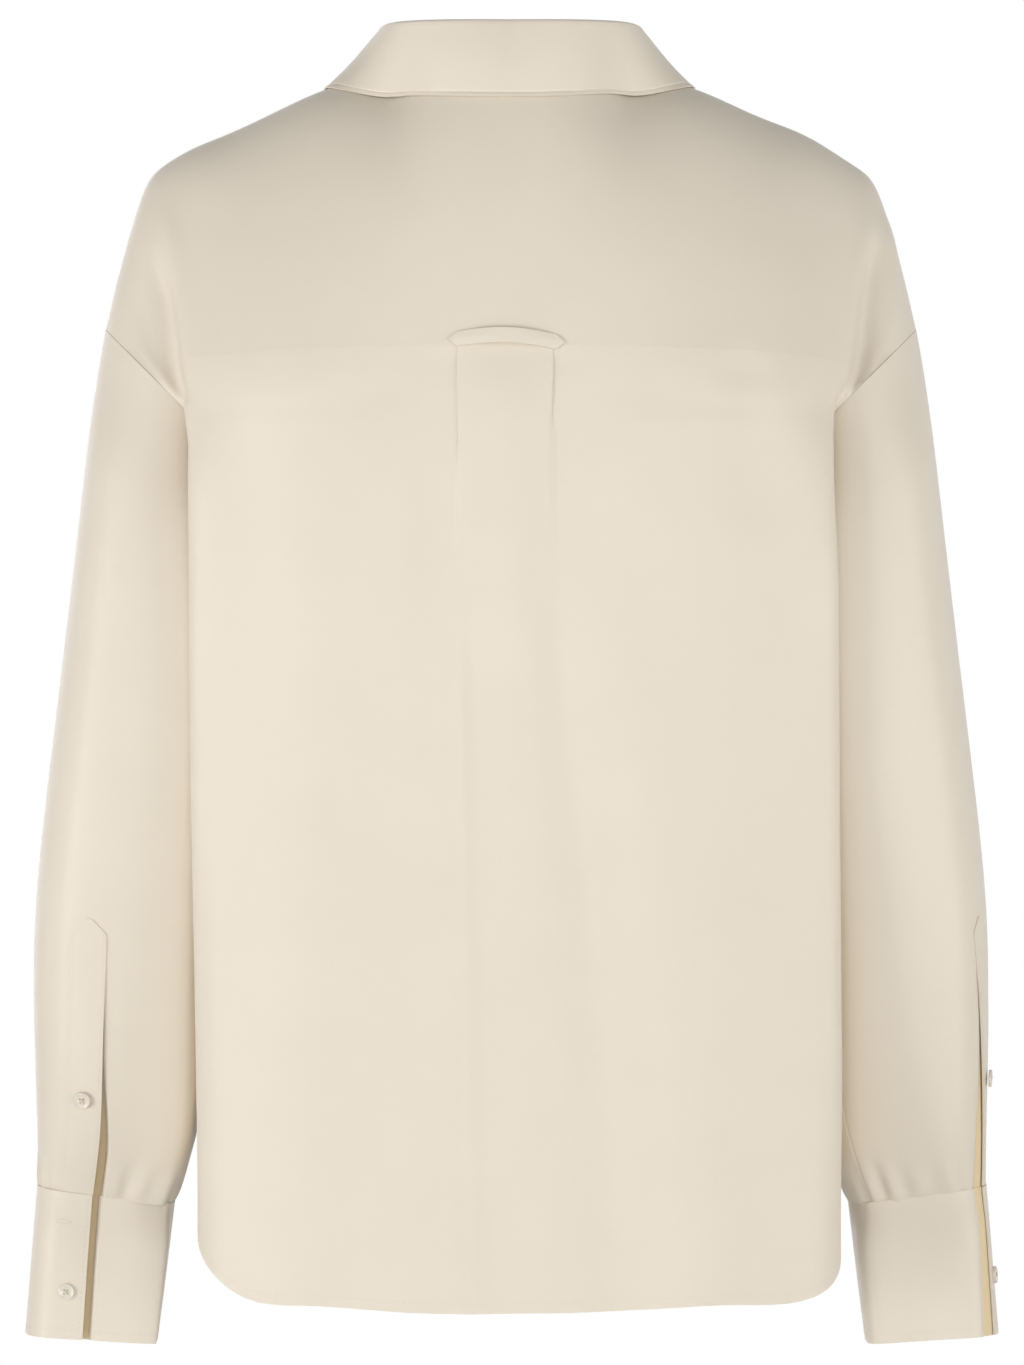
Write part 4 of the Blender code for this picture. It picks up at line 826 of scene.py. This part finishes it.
for side, name in SIDES:
    points, closed, painted_shade_mask = sleeve_grid(side, np.append(dense([0, 0.10, SLIT_TOP, 1.0], 0.0065), 1.004))
    offset = outward(points, side, ring=True)
    offset[closed:, 0], offset[closed:, -1] = offset[closed:, 1], offset[closed:, -2]
    sleeve = cloth_shell("silk_sleeve_" + name, points, offset, SILK, silk_body, closed_rows=closed)
    # the faces turned in at the open edge get the painted shade
    paint_shade_where(sleeve, painted_shade_mask)
    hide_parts("sleeve_" + name)


# ---------------------------------------------------------------- the strips over the sleeves' slits
# Each slit is finished with a narrow strip under its inner edge, and a wide one, pointed at its top,
# that laps over it and buttons half way.
TOWER_WIDTH = 0.0200
TOWER = [  # name, place down the sleeve, share of the strip's width, lift of its free edge
    ("tip",      0.655, 0.16, 0.0),
    ("shoulder", 0.673, 1.00, 0.0),
    ("stitched", 0.700, 1.00, 0.0),
    ("free",     SLIT_TOP, 1.00, 0.1),
    ("upper",    0.785, 1.00, 0.7),
    ("middle",   0.865, 1.00, 1.0),
    ("gathers",  0.935, 1.00, 0.8),
    ("cuff",     1.000, 1.00, 0.5),
]
ON_SLEEVE = 0.0011         # middle of the strip over middle of the sleeve


def tower_points(side, across, s):
    """The strip over the slit; `across` runs from -1 at its free edge to 1."""
    places = [row[1] for row in TOWER]
    share = np.interp(s, places, [row[2] for row in TOWER])
    lift = np.interp(s, places, [row[3] for row in TOWER])
    w = across * share * TOWER_WIDTH / 2
    sewn = 0.0005 * (1 - smooth(s, 0.700, SLIT_TOP) * smooth(-across, -1.0, 0.2))
    lifted = (0.0011 if side > 0 else 0.0002) * lift * smooth(-across, -0.4, 1.0)
    return sleeve_points(side, w * sleeve_step(side, s), s, ON_SLEEVE - sewn + lifted)


for side, name in SIDES:
    across, s = np.meshgrid(np.linspace(-1, 1, 11), dense([0.655, 0.673, 1.0], 0.0065))
    points = tower_points(side, across, s)
    offset = outward(points, side)
    strip = cloth_shell("silk_placket_" + name, points, offset, FACED, silk_body)
    turned = np.swapaxes(points[2:], 0, 1), np.swapaxes(offset[2:], 0, 1)
    edges = [inset_line(*turned, FACED, edge, 0.0016) for edge in ("first", "last")]
    stitches("stitches_placket_" + name, edges, thread)
    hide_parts("placket_" + name)
    w, s = np.meshgrid(np.linspace(-0.0060, 0.0080, 8), dense([0.785, 0.995], 0.0065))
    points = sleeve_points(side, w * sleeve_step(side, s), s, -ON_SLEEVE)
    points[..., 1] -= slit_dip(side, np.minimum(w, 0), s)
    # the strip under the slit is drawn all in the darker silk: painted shade, for the shade under the wide
    # strip
    under = cloth_shell("silk_placket_under_" + name, points, outward(points, side), SILK, painted_shade_silk)
    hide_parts("placket_under_" + name)


# ---------------------------------------------------------------- the cuffs
# Deep double cuffs, interfaced and pressed flat along a crease. The end with the buttonholes laps over
# the other.
CUFF = [  # name, centre x, y, z, half width, half depth, lean, turn of the seam on the left, on the right
    ("seam",    0.2326, -0.0281, -0.6289, 0.0391, 0.0322, 7.0, -11, 46),
    ("buttons", 0.2367, -0.0291, -0.6700, 0.0383, 0.0320, 5.2, -12, 43),
    ("end",     0.2410, -0.0301, -0.7110, 0.0374, 0.0318, 3.4, -14, 40),
]
CUFF_PLACES = [0.0, 0.5, 1.0]
CUFF_UNDERLAP = 0.0120
PAINTED_SHADE_COLUMNS = {1: (-32, -18), -1: (-42, -18)}     # from the far end, the columns where the cuff's open edge gets painted shade


def cuff_points(side, turn, s, step):
    """Points on a cuff, whose far end passes under its near end. `turn` is in degrees from the slit."""
    column = 6 if side > 0 else 7
    near, far = turn / step, (turn - 360) / step
    over = 0.0010 * (1 - smooth(near, 0.012, 0.030))
    groove = SLIT_DIP[side] * smooth(far, -0.0104 - OPEN_EDGE[side], -0.0080 - OPEN_EDGE[side])
    groove = groove * (1 - smooth(far, -0.0100, -0.0010)) * rising_floor(side, far, 1.0)
    under = 0.0005 * smooth(far, -0.0100, -0.0010)
    around = turn + SLIT_FROM_SEAM
    angle = np.radians(around + along(CUFF_PLACES, [row[column + 1] for row in CUFF], s))
    corner = np.where(np.sin(angle) > 0, np.where(np.cos(angle) > 0, 0.0042, 0.0020), 0)
    square = corner * np.sin(2 * angle) ** 2
    over = over + square * smooth(s, 0.0, 0.3)
    pressed = (turn > 180) * np.maximum(0, 1 - np.abs(around - 360) / 24) * (0.0030 if side < 0 else 0.0010)
    points = ring_points(CUFF, CUFF_PLACES, column, around, s, over - under + pressed)
    turned = (np.degrees(angle) + 180) % 360 - 180
    flat = np.exp(-((turned - 14) / 24) ** 2)
    points[..., 1] += flat * (0.0090 + 0.0040 * smooth(s, 0, 0.4) if side > 0 else 0.0025) - groove
    points[..., 0] -= 0.0030 * np.exp(-((turned - 32) / 14) ** 2) * (side > 0)
    points[..., 0] *= side
    return points


def cuff_face(side, near, s):
    """Points on a cuff's outer face, for metres from the slit and places down the cuff, and the normals."""
    step = metres_to_turn(CUFF, CUFF_PLACES, 6 if side > 0 else 7, SLIT_FROM_SEAM, s)
    at = lambda across, down: cuff_points(side, (near + across) * step, s + down, step)
    normals = unit(np.cross(at(1e-4, 0) - at(-1e-4, 0), at(0, 1e-3) - at(0, -1e-3)))
    centre = np.array([side * CUFF[1][1], CUFF[1][2], 0])
    normals *= np.sign(np.sum(normals * (at(0, 0) * [1, 1, 0] - centre), axis=-1, keepdims=True))
    return at(0, 0) + normals * FACED / 2, normals


for side, name in SIDES:
    rows = []
    for s in np.linspace(1, 0, 34):
        step = metres_to_turn(CUFF, CUFF_PLACES, 6 if side > 0 else 7, SLIT_FROM_SEAM, s)
        near = list(np.linspace(-TOWER_WIDTH / 2, 0.021, 14) * step)
        far = list(360 + np.linspace(-0.0280, CUFF_UNDERLAP, 51) * step)
        crease = 360 - SLIT_FROM_SEAM
        turn = np.array(near + list(np.linspace(near[-1], crease, 70)[1:-1])
                        + list(np.linspace(crease, far[0], 30)[:-1]) + far)
        rows.append(cuff_points(side, turn, np.full(len(turn), s), step))
    points = np.array(rows)
    offset = outward(points, -side)
    cuff = cloth_shell("silk_cuff_" + name, points, offset, FACED, silk_body)
    # painted shade in the cuff's open edge, between these columns
    first, last = PAINTED_SHADE_COLUMNS[side]
    shaded_columns = np.zeros(points.shape[:2], bool)
    shaded_columns[:, first:last] = True
    paint_shade_where(cuff, shaded_columns)
    turned = np.swapaxes(points, 0, 1), np.swapaxes(offset, 0, 1)
    stitches("stitches_cuff_" + name, [inset_line(points, offset, FACED, "first", 0.0050),
                                       inset_line(*turned, FACED, "first", 0.0022)], thread)
    # the upper of its two buttonholes has no button in it
    turn = np.linspace(0, 2 * math.pi, 40)
    line, normals = cuff_face(side, 0.0042 + 0.0048 * np.cos(turn), 0.20 + 0.0120 * np.sin(turn))
    stitches("buttonhole_cuff_" + name, [(line, normals)], thread, every=0.0004, length=0.0007)
    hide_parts("cuff_" + name)


# ---------------------------------------------------------------- the collar
# A shirt collar: a narrow stand sewn to the neckline, and a deep leaf that folds down over it. Both are
# interfaced, and the leaf is stitched close to its edge.
STIFFENED, GAP = 0.0012, 0.0003
COLLAR = [  # name, place from the back (0) to the front end (1), fold x, y, z, edge of the leaf x, y, z
    ("back",       0.00, 0.0000, 0.0565, 0.0330, 0.0000, 0.0720, -0.0080),
    ("side back",  0.22, 0.0430, 0.0530, 0.0338, 0.0540, 0.0630, -0.0062),
    ("neck side",  0.30, 0.0580, 0.0385, 0.0348, 0.0735, 0.0440, -0.0040),
    ("side",       0.38, 0.0685, 0.0140, 0.0352, 0.0935, 0.0240, -0.0012),
    ("shoulder",   0.50, 0.0715, -0.0400, 0.0290, 0.1062, -0.0300, -0.0022),
    ("front side", 0.66, 0.0575, -0.0740, -0.0060, 0.1060, -0.0660, -0.0300),
    ("front",      0.83, 0.0415, -0.0925, -0.0420, 0.0940, -0.0920, -0.0760),
    ("point",      1.00, 0.0262, -0.1010, -0.0630, 0.0800, -0.1050, -0.1180),
]
ROLL = 0.0021              # radius of the collar's folded edge
LEAF_END = 0.92            # the leaf stops short of the stand's ends, which carry the button
LEAF_OVER = 0.0012         # its edge lies this far over the yoke and the fronts
LEAF_CROWN, LEAF_HOLLOW = 0.0015, 0.0016   # it is crowned at the back, and hollow at the sides of the neck
RIGHT_SHORTER = 0.03       # share of its depth that the leaf lacks on the right, where it sits higher


def leaf_swell(s, t):
    """How far the leaf stands out of a straight line from fold (0) to edge (1); hollow where negative."""
    beside = smooth(np.abs(s), 0.20, 0.42) * (1 - smooth(np.abs(s), 0.62, 0.85))
    return (LEAF_CROWN * math.sin(math.pi * t) * (1 - beside)
            - LEAF_HOLLOW * math.sin(math.pi * t ** 1.4) * beside)


def start_clear(one, other):
    """How far along `other` a wall starts, to clear the wall that comes along `one` to the same seam."""
    cosine = np.clip(np.sum(one * other, axis=-1, keepdims=True), -0.80, 0.9999)
    sine, half = np.sqrt(1 - cosine ** 2), STIFFENED / 2
    ends_on = (GAP / 2 + half * sine) / np.maximum(cosine, 0.05)
    return np.minimum(ends_on, (half * (1 - cosine) + GAP) / sine)


def over_body(points):
    """The points, moved square to the yoke and the fronts to lie just over them."""
    samples, normals = [], []
    for side in (1, -1):
        u, v = np.meshgrid(np.linspace(0, 1, 90), np.linspace(0.74, 1, 60))
        u, v = u.ravel(), v.ravel()
        samples += [back_surface(u * side, v), front_surface(u, v, side)]
        normals += [surface_normal(back_surface, u * side, v, -1),
                    surface_normal(lambda a, b: front_surface(a, b, side), u, v, side)]
    samples, normals = np.concatenate(samples), np.concatenate(normals)
    moved = []
    for point in points:
        for again in range(5):                          # slides along the cloth, back to its own height
            start = point if not again else moving + [0, 0, 0.8 * (point[2] - moving[2])]
            nearest = np.argmin(np.sum((samples - start) ** 2, axis=-1))
            normal = normals[nearest]
            moving = start + normal * (LEAF_OVER - np.dot(start - samples[nearest], normal))
        moved.append(moving)
    return np.array(moved)


def collar_lines(s):
    """Base, direction at the base, fold and outer edge of the collar, for s from -1 (right end) to 1."""
    base, tip = np.zeros((2, len(s), 3))
    for i, p in enumerate(np.abs(s)):
        side = -1 if s[i] < 0 else 1
        if p <= 0.5:
            u = np.array([side * NECK_U * p / 0.5])
            base[i], tip[i] = back_surface(u, np.ones(1))[0], back_surface(u, np.full(1, 0.99))[0]
        else:
            end = front_seam_u(np.ones(1), side)[0] - BAND_WIDTH * FRONT_PER_METRE
            u = np.array([NECK_U + (end - NECK_U) * (p - 0.5) / 0.5])
            base[i] = front_surface(u, np.ones(1), side)[0]
            tip[i] = front_surface(u, np.full(1, 0.99), side)[0]
            if side < 0:
                normal = surface_normal(lambda a, b: front_surface(a, b, -1), u, np.ones(1), -1)[0]
                base[i] += normal * (STIFFENED + GAP) * smooth(p, 0.65, 0.80)
                tip[i] += normal * (STIFFENED + GAP) * smooth(p, 0.65, 0.80)
    knots = [row[1] for row in COLLAR]
    fold, edge = (along(knots, [row[a:a + 3] for row in COLLAR], np.abs(s)) for a in (2, 5))
    for line in (fold, edge):
        line[..., 0] *= np.where(s < 0, -1, 1)
    edge += (fold - edge) * (RIGHT_SHORTER * smooth(-s, 0.05, 0.30))[:, None]
    run, up = unit(np.gradient(base, axis=0)), unit(fold - base)
    square = lambda way: unit(way - run * np.sum(way * run, axis=-1, keepdims=True))
    slant = np.maximum(np.sum(up * square(up), axis=-1, keepdims=True), 0.5)
    corner = 0.0006 * (1 - smooth(np.abs(np.abs(s) - 0.52), 0.05, 0.12))[:, None]   # where front meets yoke
    base = base + up * (corner + start_clear(square(base - tip), square(up)) / slant)
    return base, fold, over_body(edge)


def fold_frame(base, fold, edge):
    """Directions square to the fold: up the stand, and out over it."""
    run = unit(np.gradient(fold, axis=0))
    up, out = fold - base, edge - fold
    up = unit(up - run * np.sum(up * run, axis=-1, keepdims=True))
    out = out - run * np.sum(out * run, axis=-1, keepdims=True)
    return up, unit(out - up * np.sum(out * up, axis=-1, keepdims=True))


def stand_points(s, heights):
    """Points on the stand, for places along it and shares of its height up to the collar's fold."""
    base, fold, edge = collar_lines(s)
    up, out = fold_frame(base, fold, edge)
    t = np.asarray(heights)[:, None, None]
    return base + (fold - base) * t + out * 0.0010 * np.sin(np.pi * t) ** 2


s = dense([-1.0, 1.0], 0.018)
points = stand_points(s, np.linspace(0, 1, 12))
stand = cloth_shell("silk_collar_stand", points, outward(points, -1), FACED, silk_body)
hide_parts("collar_stand")
s = dense([-LEAF_END, LEAF_END], 0.016)
base, fold, edge = collar_lines(s)
up, away = fold_frame(base, fold, edge)
rows = [fold + up * (GAP + 0.00015)]
for angle in np.radians(np.linspace(12, 150, 10)):
    rows.append(fold + up * (GAP + ROLL * math.sin(angle)) + away * ROLL * (1 - math.cos(angle)))
top = rows[-1]
for t in [*np.linspace(0, 0.915, 20)[1:], 0.932, 0.941, 0.948, 0.955, 0.965, 0.982, 1.0]:
    pressed = 0.0005 * smooth(t, 0.955, 1.0) - 0.0005 * math.exp(-((t - 0.948) / 0.008) ** 2)
    rows.append(top + (edge - top) * t + away * (leaf_swell(s, t)[:, None] + pressed))
points = np.array(rows)
offset = outward(points, -1)
collar = cloth_shell("silk_collar", points, offset, FACED, silk_body)
turned = np.swapaxes(points[14:], 0, 1), np.swapaxes(offset[14:], 0, 1)
stitches("stitches_collar", [inset_line(points, offset, FACED, "last", 0.0026)]
         + [inset_line(*turned, FACED, edge, 0.0026) for edge in ("first", "last")], thread)
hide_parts("collar")


# ---------------------------------------------------------------- the hanger loop
# A narrow strip of silk, sewn flat at both ends over the top of the pleat, and a little slack between.
LOOP_MIDDLE_X, LOOP_MIDDLE_Z, LOOP_HALF, LOOP_WIDTH = 0.0025, -0.1440, 0.0331, 0.0082
LOOP_POINT = 0.0048        # its ends are pointed by this much
LOOP_HANG, LOOP_TILT = 0.0028, 0.0008      # its ends hang down, and its left end is a little higher
LOOP_SLACK = 0.0026        # its middle stands this far off the yoke


def back_at(x, z):
    """The back's surface and its outward normal at one x and z, near the middle of the yoke."""
    u = np.full(200, x * PLEAT_PER_METRE)
    v = np.linspace(0.60, 0.95, 200)
    height = back_surface(u, v)[:, 2]
    u, v = u[:1], np.array([np.interp(z, height, v)])
    return back_surface(u, v)[0], surface_normal(back_surface, u, v, -1)[0]


rows = []
for across in np.linspace(-1, 1, 9):
    row = []
    for s in np.linspace(-1, 1, 49):
        length = LOOP_HALF - LOOP_POINT * abs(across)
        z = LOOP_MIDDLE_Z - LOOP_HANG * s * s + LOOP_TILT * s + across * LOOP_WIDTH / 2
        point, normal = back_at(LOOP_MIDDLE_X + s * length, z)
        row.append(point + normal * (ON_SLEEVE + LOOP_SLACK * (1 - s * s) ** 2))
    rows.append(row)
points = np.array(rows)
loop = cloth_shell("silk_hanger_loop", points, outward(points, -1), FACED, silk_body)
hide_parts("hanger_loop")


# ---------------------------------------------------------------- the buttons
# Small round shell buttons with a sunken middle and four holes, sewn on with a crossed pair of threads. The
# front's six are done up, and so are one on each cuff and each sleeve's strip. The stand's is undone.
BUTTON_RADIUS, BUTTON_THICKNESS, HOLE_RADIUS, HOLE_REACH = 0.0049, 0.0018, 0.00052, 0.00095
THREAD_RADIUS = 0.00030
ARM_X, SLEEVE_Y = 0.228, -0.026            # the middle of the lower arm, which the sleeves' buttons face from


def mother_of_pearl(name):
    """Polished mother-of-pearl: ivory with soft cloudy bands of pink and green, under a clear gloss."""
    material = bpy.data.materials.new(name)
    material.use_nodes = True
    tree = material.node_tree
    shader = tree.nodes["Principled BSDF"]
    where = add_node(tree, "ShaderNodeTexCoord").outputs["Object"]
    cloud = add_node(tree, "ShaderNodeTexNoise", [("Vector", where)], in_Scale=320.0, in_Detail=2.0,
                     in_Distortion=1.5).outputs[0]
    bands = add_node(tree, "ShaderNodeValToRGB", [("Fac", cloud)])
    for place, shade in ((0.0, "#E2D8C8"), (1.0, "#EDE4D4")):
        bands.color_ramp.elements[int(place)].color = linear(shade)
    for place, shade in ((0.42, "#EBDDD0"), (0.62, "#E0DCCB")):
        bands.color_ramp.elements.new(place).color = linear(shade)
    tree.links.new(bands.outputs[0], shader.inputs["Base Color"])
    for socket, value in (("Roughness", 0.22), ("IOR", 1.53), ("Coat Weight", 0.4), ("Coat Roughness", 0.08)):
        shader.inputs[socket].default_value = value
    return material


def added(kind, **settings):
    """A new primitive on its own, with nothing else selected."""
    bpy.ops.object.select_all(action="DESELECT")
    getattr(bpy.ops.mesh, "primitive_" + kind + "_add")(**settings)
    return bpy.context.active_object


def cut_away(piece, cutter):
    """Takes the cutter's form out of the piece."""
    bpy.context.view_layer.objects.active = piece
    hole = piece.modifiers.new("hole", "BOOLEAN")
    hole.operation, hole.solver, hole.object = "DIFFERENCE", "EXACT", cutter
    bpy.ops.object.modifier_apply(modifier="hole")
    bpy.data.objects.remove(cutter)


pattern = added("cylinder", vertices=48, radius=BUTTON_RADIUS, depth=BUTTON_THICKNESS,
                location=(0, 0, BUTTON_THICKNESS / 2))
bpy.ops.object.transform_apply(location=True)
bpy.ops.object.mode_set(mode="EDIT")
bpy.ops.mesh.select_mode(type="FACE")
bpy.ops.mesh.select_all(action="DESELECT")
bpy.ops.object.mode_set(mode="OBJECT")
for face in pattern.data.polygons:
    face.select = face.normal.z > 0.9
bpy.ops.object.mode_set(mode="EDIT")
for inward, down in ((0.0004, 0.0), (0.0006, 0.0), (0.0005, -0.00022), (0.0004, -0.00008)):
    bpy.ops.mesh.inset(thickness=inward, depth=0)
    bpy.ops.transform.translate(value=(0, 0, down))
bpy.ops.object.mode_set(mode="OBJECT")
soft_edge = pattern.modifiers.new("soft edge", "BEVEL")
soft_edge.width, soft_edge.segments, soft_edge.limit_method, soft_edge.angle_limit = 0.0004, 3, "ANGLE", 0.7
bpy.ops.object.modifier_apply(modifier="soft edge")
for x, y in ((1, 1), (1, -1), (-1, 1), (-1, -1)):
    cut_away(pattern, added("cylinder", vertices=14, radius=HOLE_RADIUS, depth=0.006,
                            location=(x * HOLE_REACH, y * HOLE_REACH, 0)))
pattern.data.materials.clear()
pattern.data.materials.append(mother_of_pearl("mother_of_pearl"))
sewn = []
for turn, lift in ((45, 0.00012), (135, 0.00030)):
    bar = added("cylinder", vertices=10, radius=THREAD_RADIUS, depth=2 * HOLE_REACH * 1.55,
                location=(0, 0, BUTTON_THICKNESS - THREAD_RADIUS + lift),
                rotation=(math.radians(90), 0, math.radians(turn)))
    bend = bar.modifiers.new("rounded", "BEVEL")
    bend.width, bend.segments = 0.0002, 3
    bpy.ops.object.modifier_apply(modifier="rounded")
    bpy.ops.object.transform_apply(location=True, rotation=True, scale=True)
    sewn.append(bar)
bpy.ops.object.select_all(action="DESELECT")
for bar in sewn:
    bar.select_set(True)
bpy.context.view_layer.objects.active = sewn[0]
bpy.ops.object.join()
cross = sewn[0]
cross.data.materials.clear()
cross.data.materials.append(thread)
for part in (pattern, cross):
    part.data.shade_smooth()
    part.data.set_sharp_from_angle(angle=math.radians(40))

for node in sorted(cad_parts):
    if not node.startswith("button_"):
        continue
    corners = np.array([c.co[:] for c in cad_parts[node].data.vertices])
    centre = (corners.min(axis=0) + corners.max(axis=0)) / 2
    spread = np.linalg.svd(corners - corners.mean(axis=0))[2]
    facing = spread[2]
    core = np.array([0.0, 0.0, centre[2]])
    if "placket" in node or "cuff" in node:
        core[:2] = (ARM_X if node.endswith("left") else -ARM_X), SLEEVE_Y
    facing = facing if np.dot(facing, centre - core) > 0 else -facing
    aside = unit(np.cross([0, 0, 1], facing))
    turned = np.stack([aside, np.cross(facing, aside), facing], axis=1)
    for part, kind in ((pattern, "shell_"), (cross, "thread_")):
        placed = part.data.copy()
        points = np.array([c.co[:] for c in placed.vertices]) - [0, 0, BUTTON_THICKNESS / 2]
        placed.vertices.foreach_set("co", (points @ turned.T + centre).ravel())
        placed.update()
        piece = in_scene(kind + node, placed)
        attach(piece, "root")
        if part is pattern:
            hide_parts(node)
for part in (pattern, cross):
    bpy.data.objects.remove(part)


# ---------------------------------------------------------------- the studio
# A plain pale floor and soft lamps: a brighter one low on the left of the view, a wider one low on the
# right, a slightly green fill low behind the view, and one over the front, which the view doesn't show.
LOOK_AT = (0, 0, -0.60)
SEEN_HEIGHT, DISTANCE = 0.778, 4.0         # what fills the picture's height, and how far off the camera is
bpy.ops.object.select_all(action="DESELECT")
bpy.ops.mesh.primitive_plane_add(size=14, location=(0, 0, -1.42))
floor = bpy.context.active_object
floor.name = "floor"
paint = bpy.data.materials.new("matt_white_floor")
paint.use_nodes = True
paint.node_tree.nodes["Principled BSDF"].inputs["Base Color"].default_value = linear("#F6F5F3")
paint.node_tree.nodes["Principled BSDF"].inputs["Roughness"].default_value = 0.9
floor.data.materials.append(paint)

world = bpy.data.worlds.new("white_studio")
world.use_nodes = True
tree = world.node_tree
tree.nodes.clear()
seen = add_node(tree, "ShaderNodeLightPath").outputs["Is Camera Ray"]
way = add_node(tree, "ShaderNodeTexCoord").outputs["Generated"]
height = add_node(tree, "ShaderNodeSeparateXYZ", [(0, way)]).outputs[2]
ambient = add_node(tree, "ShaderNodeMapRange", [("Value", height)], in_1=-0.2, in_2=0.8, in_3=1.20,
                   in_4=0.16).outputs[0]
strength = add_node(tree, "ShaderNodeMix", [("Factor", seen), (2, ambient)], in_3=1.0).outputs[0]
sky = add_node(tree, "ShaderNodeBackground", [("Strength", strength)], in_Color=(1, 1, 1, 1))
add_node(tree, "ShaderNodeOutputWorld", [("Surface", sky.outputs[0])])
bpy.context.scene.world = world


def lamp(name, place, aim, width, height, power, colour=(1, 1, 1)):
    """A rectangular soft lamp that shines from its place at what it is aimed at."""
    light = bpy.data.lights.new(name, "AREA")
    light.shape, light.size, light.size_y = "RECTANGLE", width, height
    light.energy, light.color = power, colour
    holder = in_scene(name, light)
    holder.location = place
    from_aim = np.array(place) - np.array(aim)
    x, y, z = unit(from_aim)
    holder.rotation_euler = (math.acos(z), 0, math.atan2(y, x) + math.pi / 2)
    return holder


lamp("left_soft_lamp", (2.9, 2.3, -0.95), LOOK_AT, 1.4, 1.4, 47)
lamp("right_soft_lamp", (-3.0, 2.0, -1.15), LOOK_AT, 1.8, 1.8, 42)
lamp("fill_lamp", (0.0, 4.5, -1.40), LOOK_AT, 1.6, 1.2, 50, (0.945, 1.0, 0.985))
lamp("front_lamp", (0.6, -3.2, 0.0), (0, 0, -0.38), 2.2, 2.0, 22)

camera = bpy.data.cameras.new("camera")
camera.sensor_fit, camera.sensor_height = "VERTICAL", 24.0
camera.lens = camera.sensor_height * DISTANCE / SEEN_HEIGHT
viewer = in_scene("camera", camera)
viewer.location = (-0.0006, DISTANCE, -0.3363)
viewer.rotation_euler = (math.radians(90), 0, math.radians(180))
bpy.context.scene.camera = viewer
bpy.context.scene.view_settings.view_transform = "Standard"
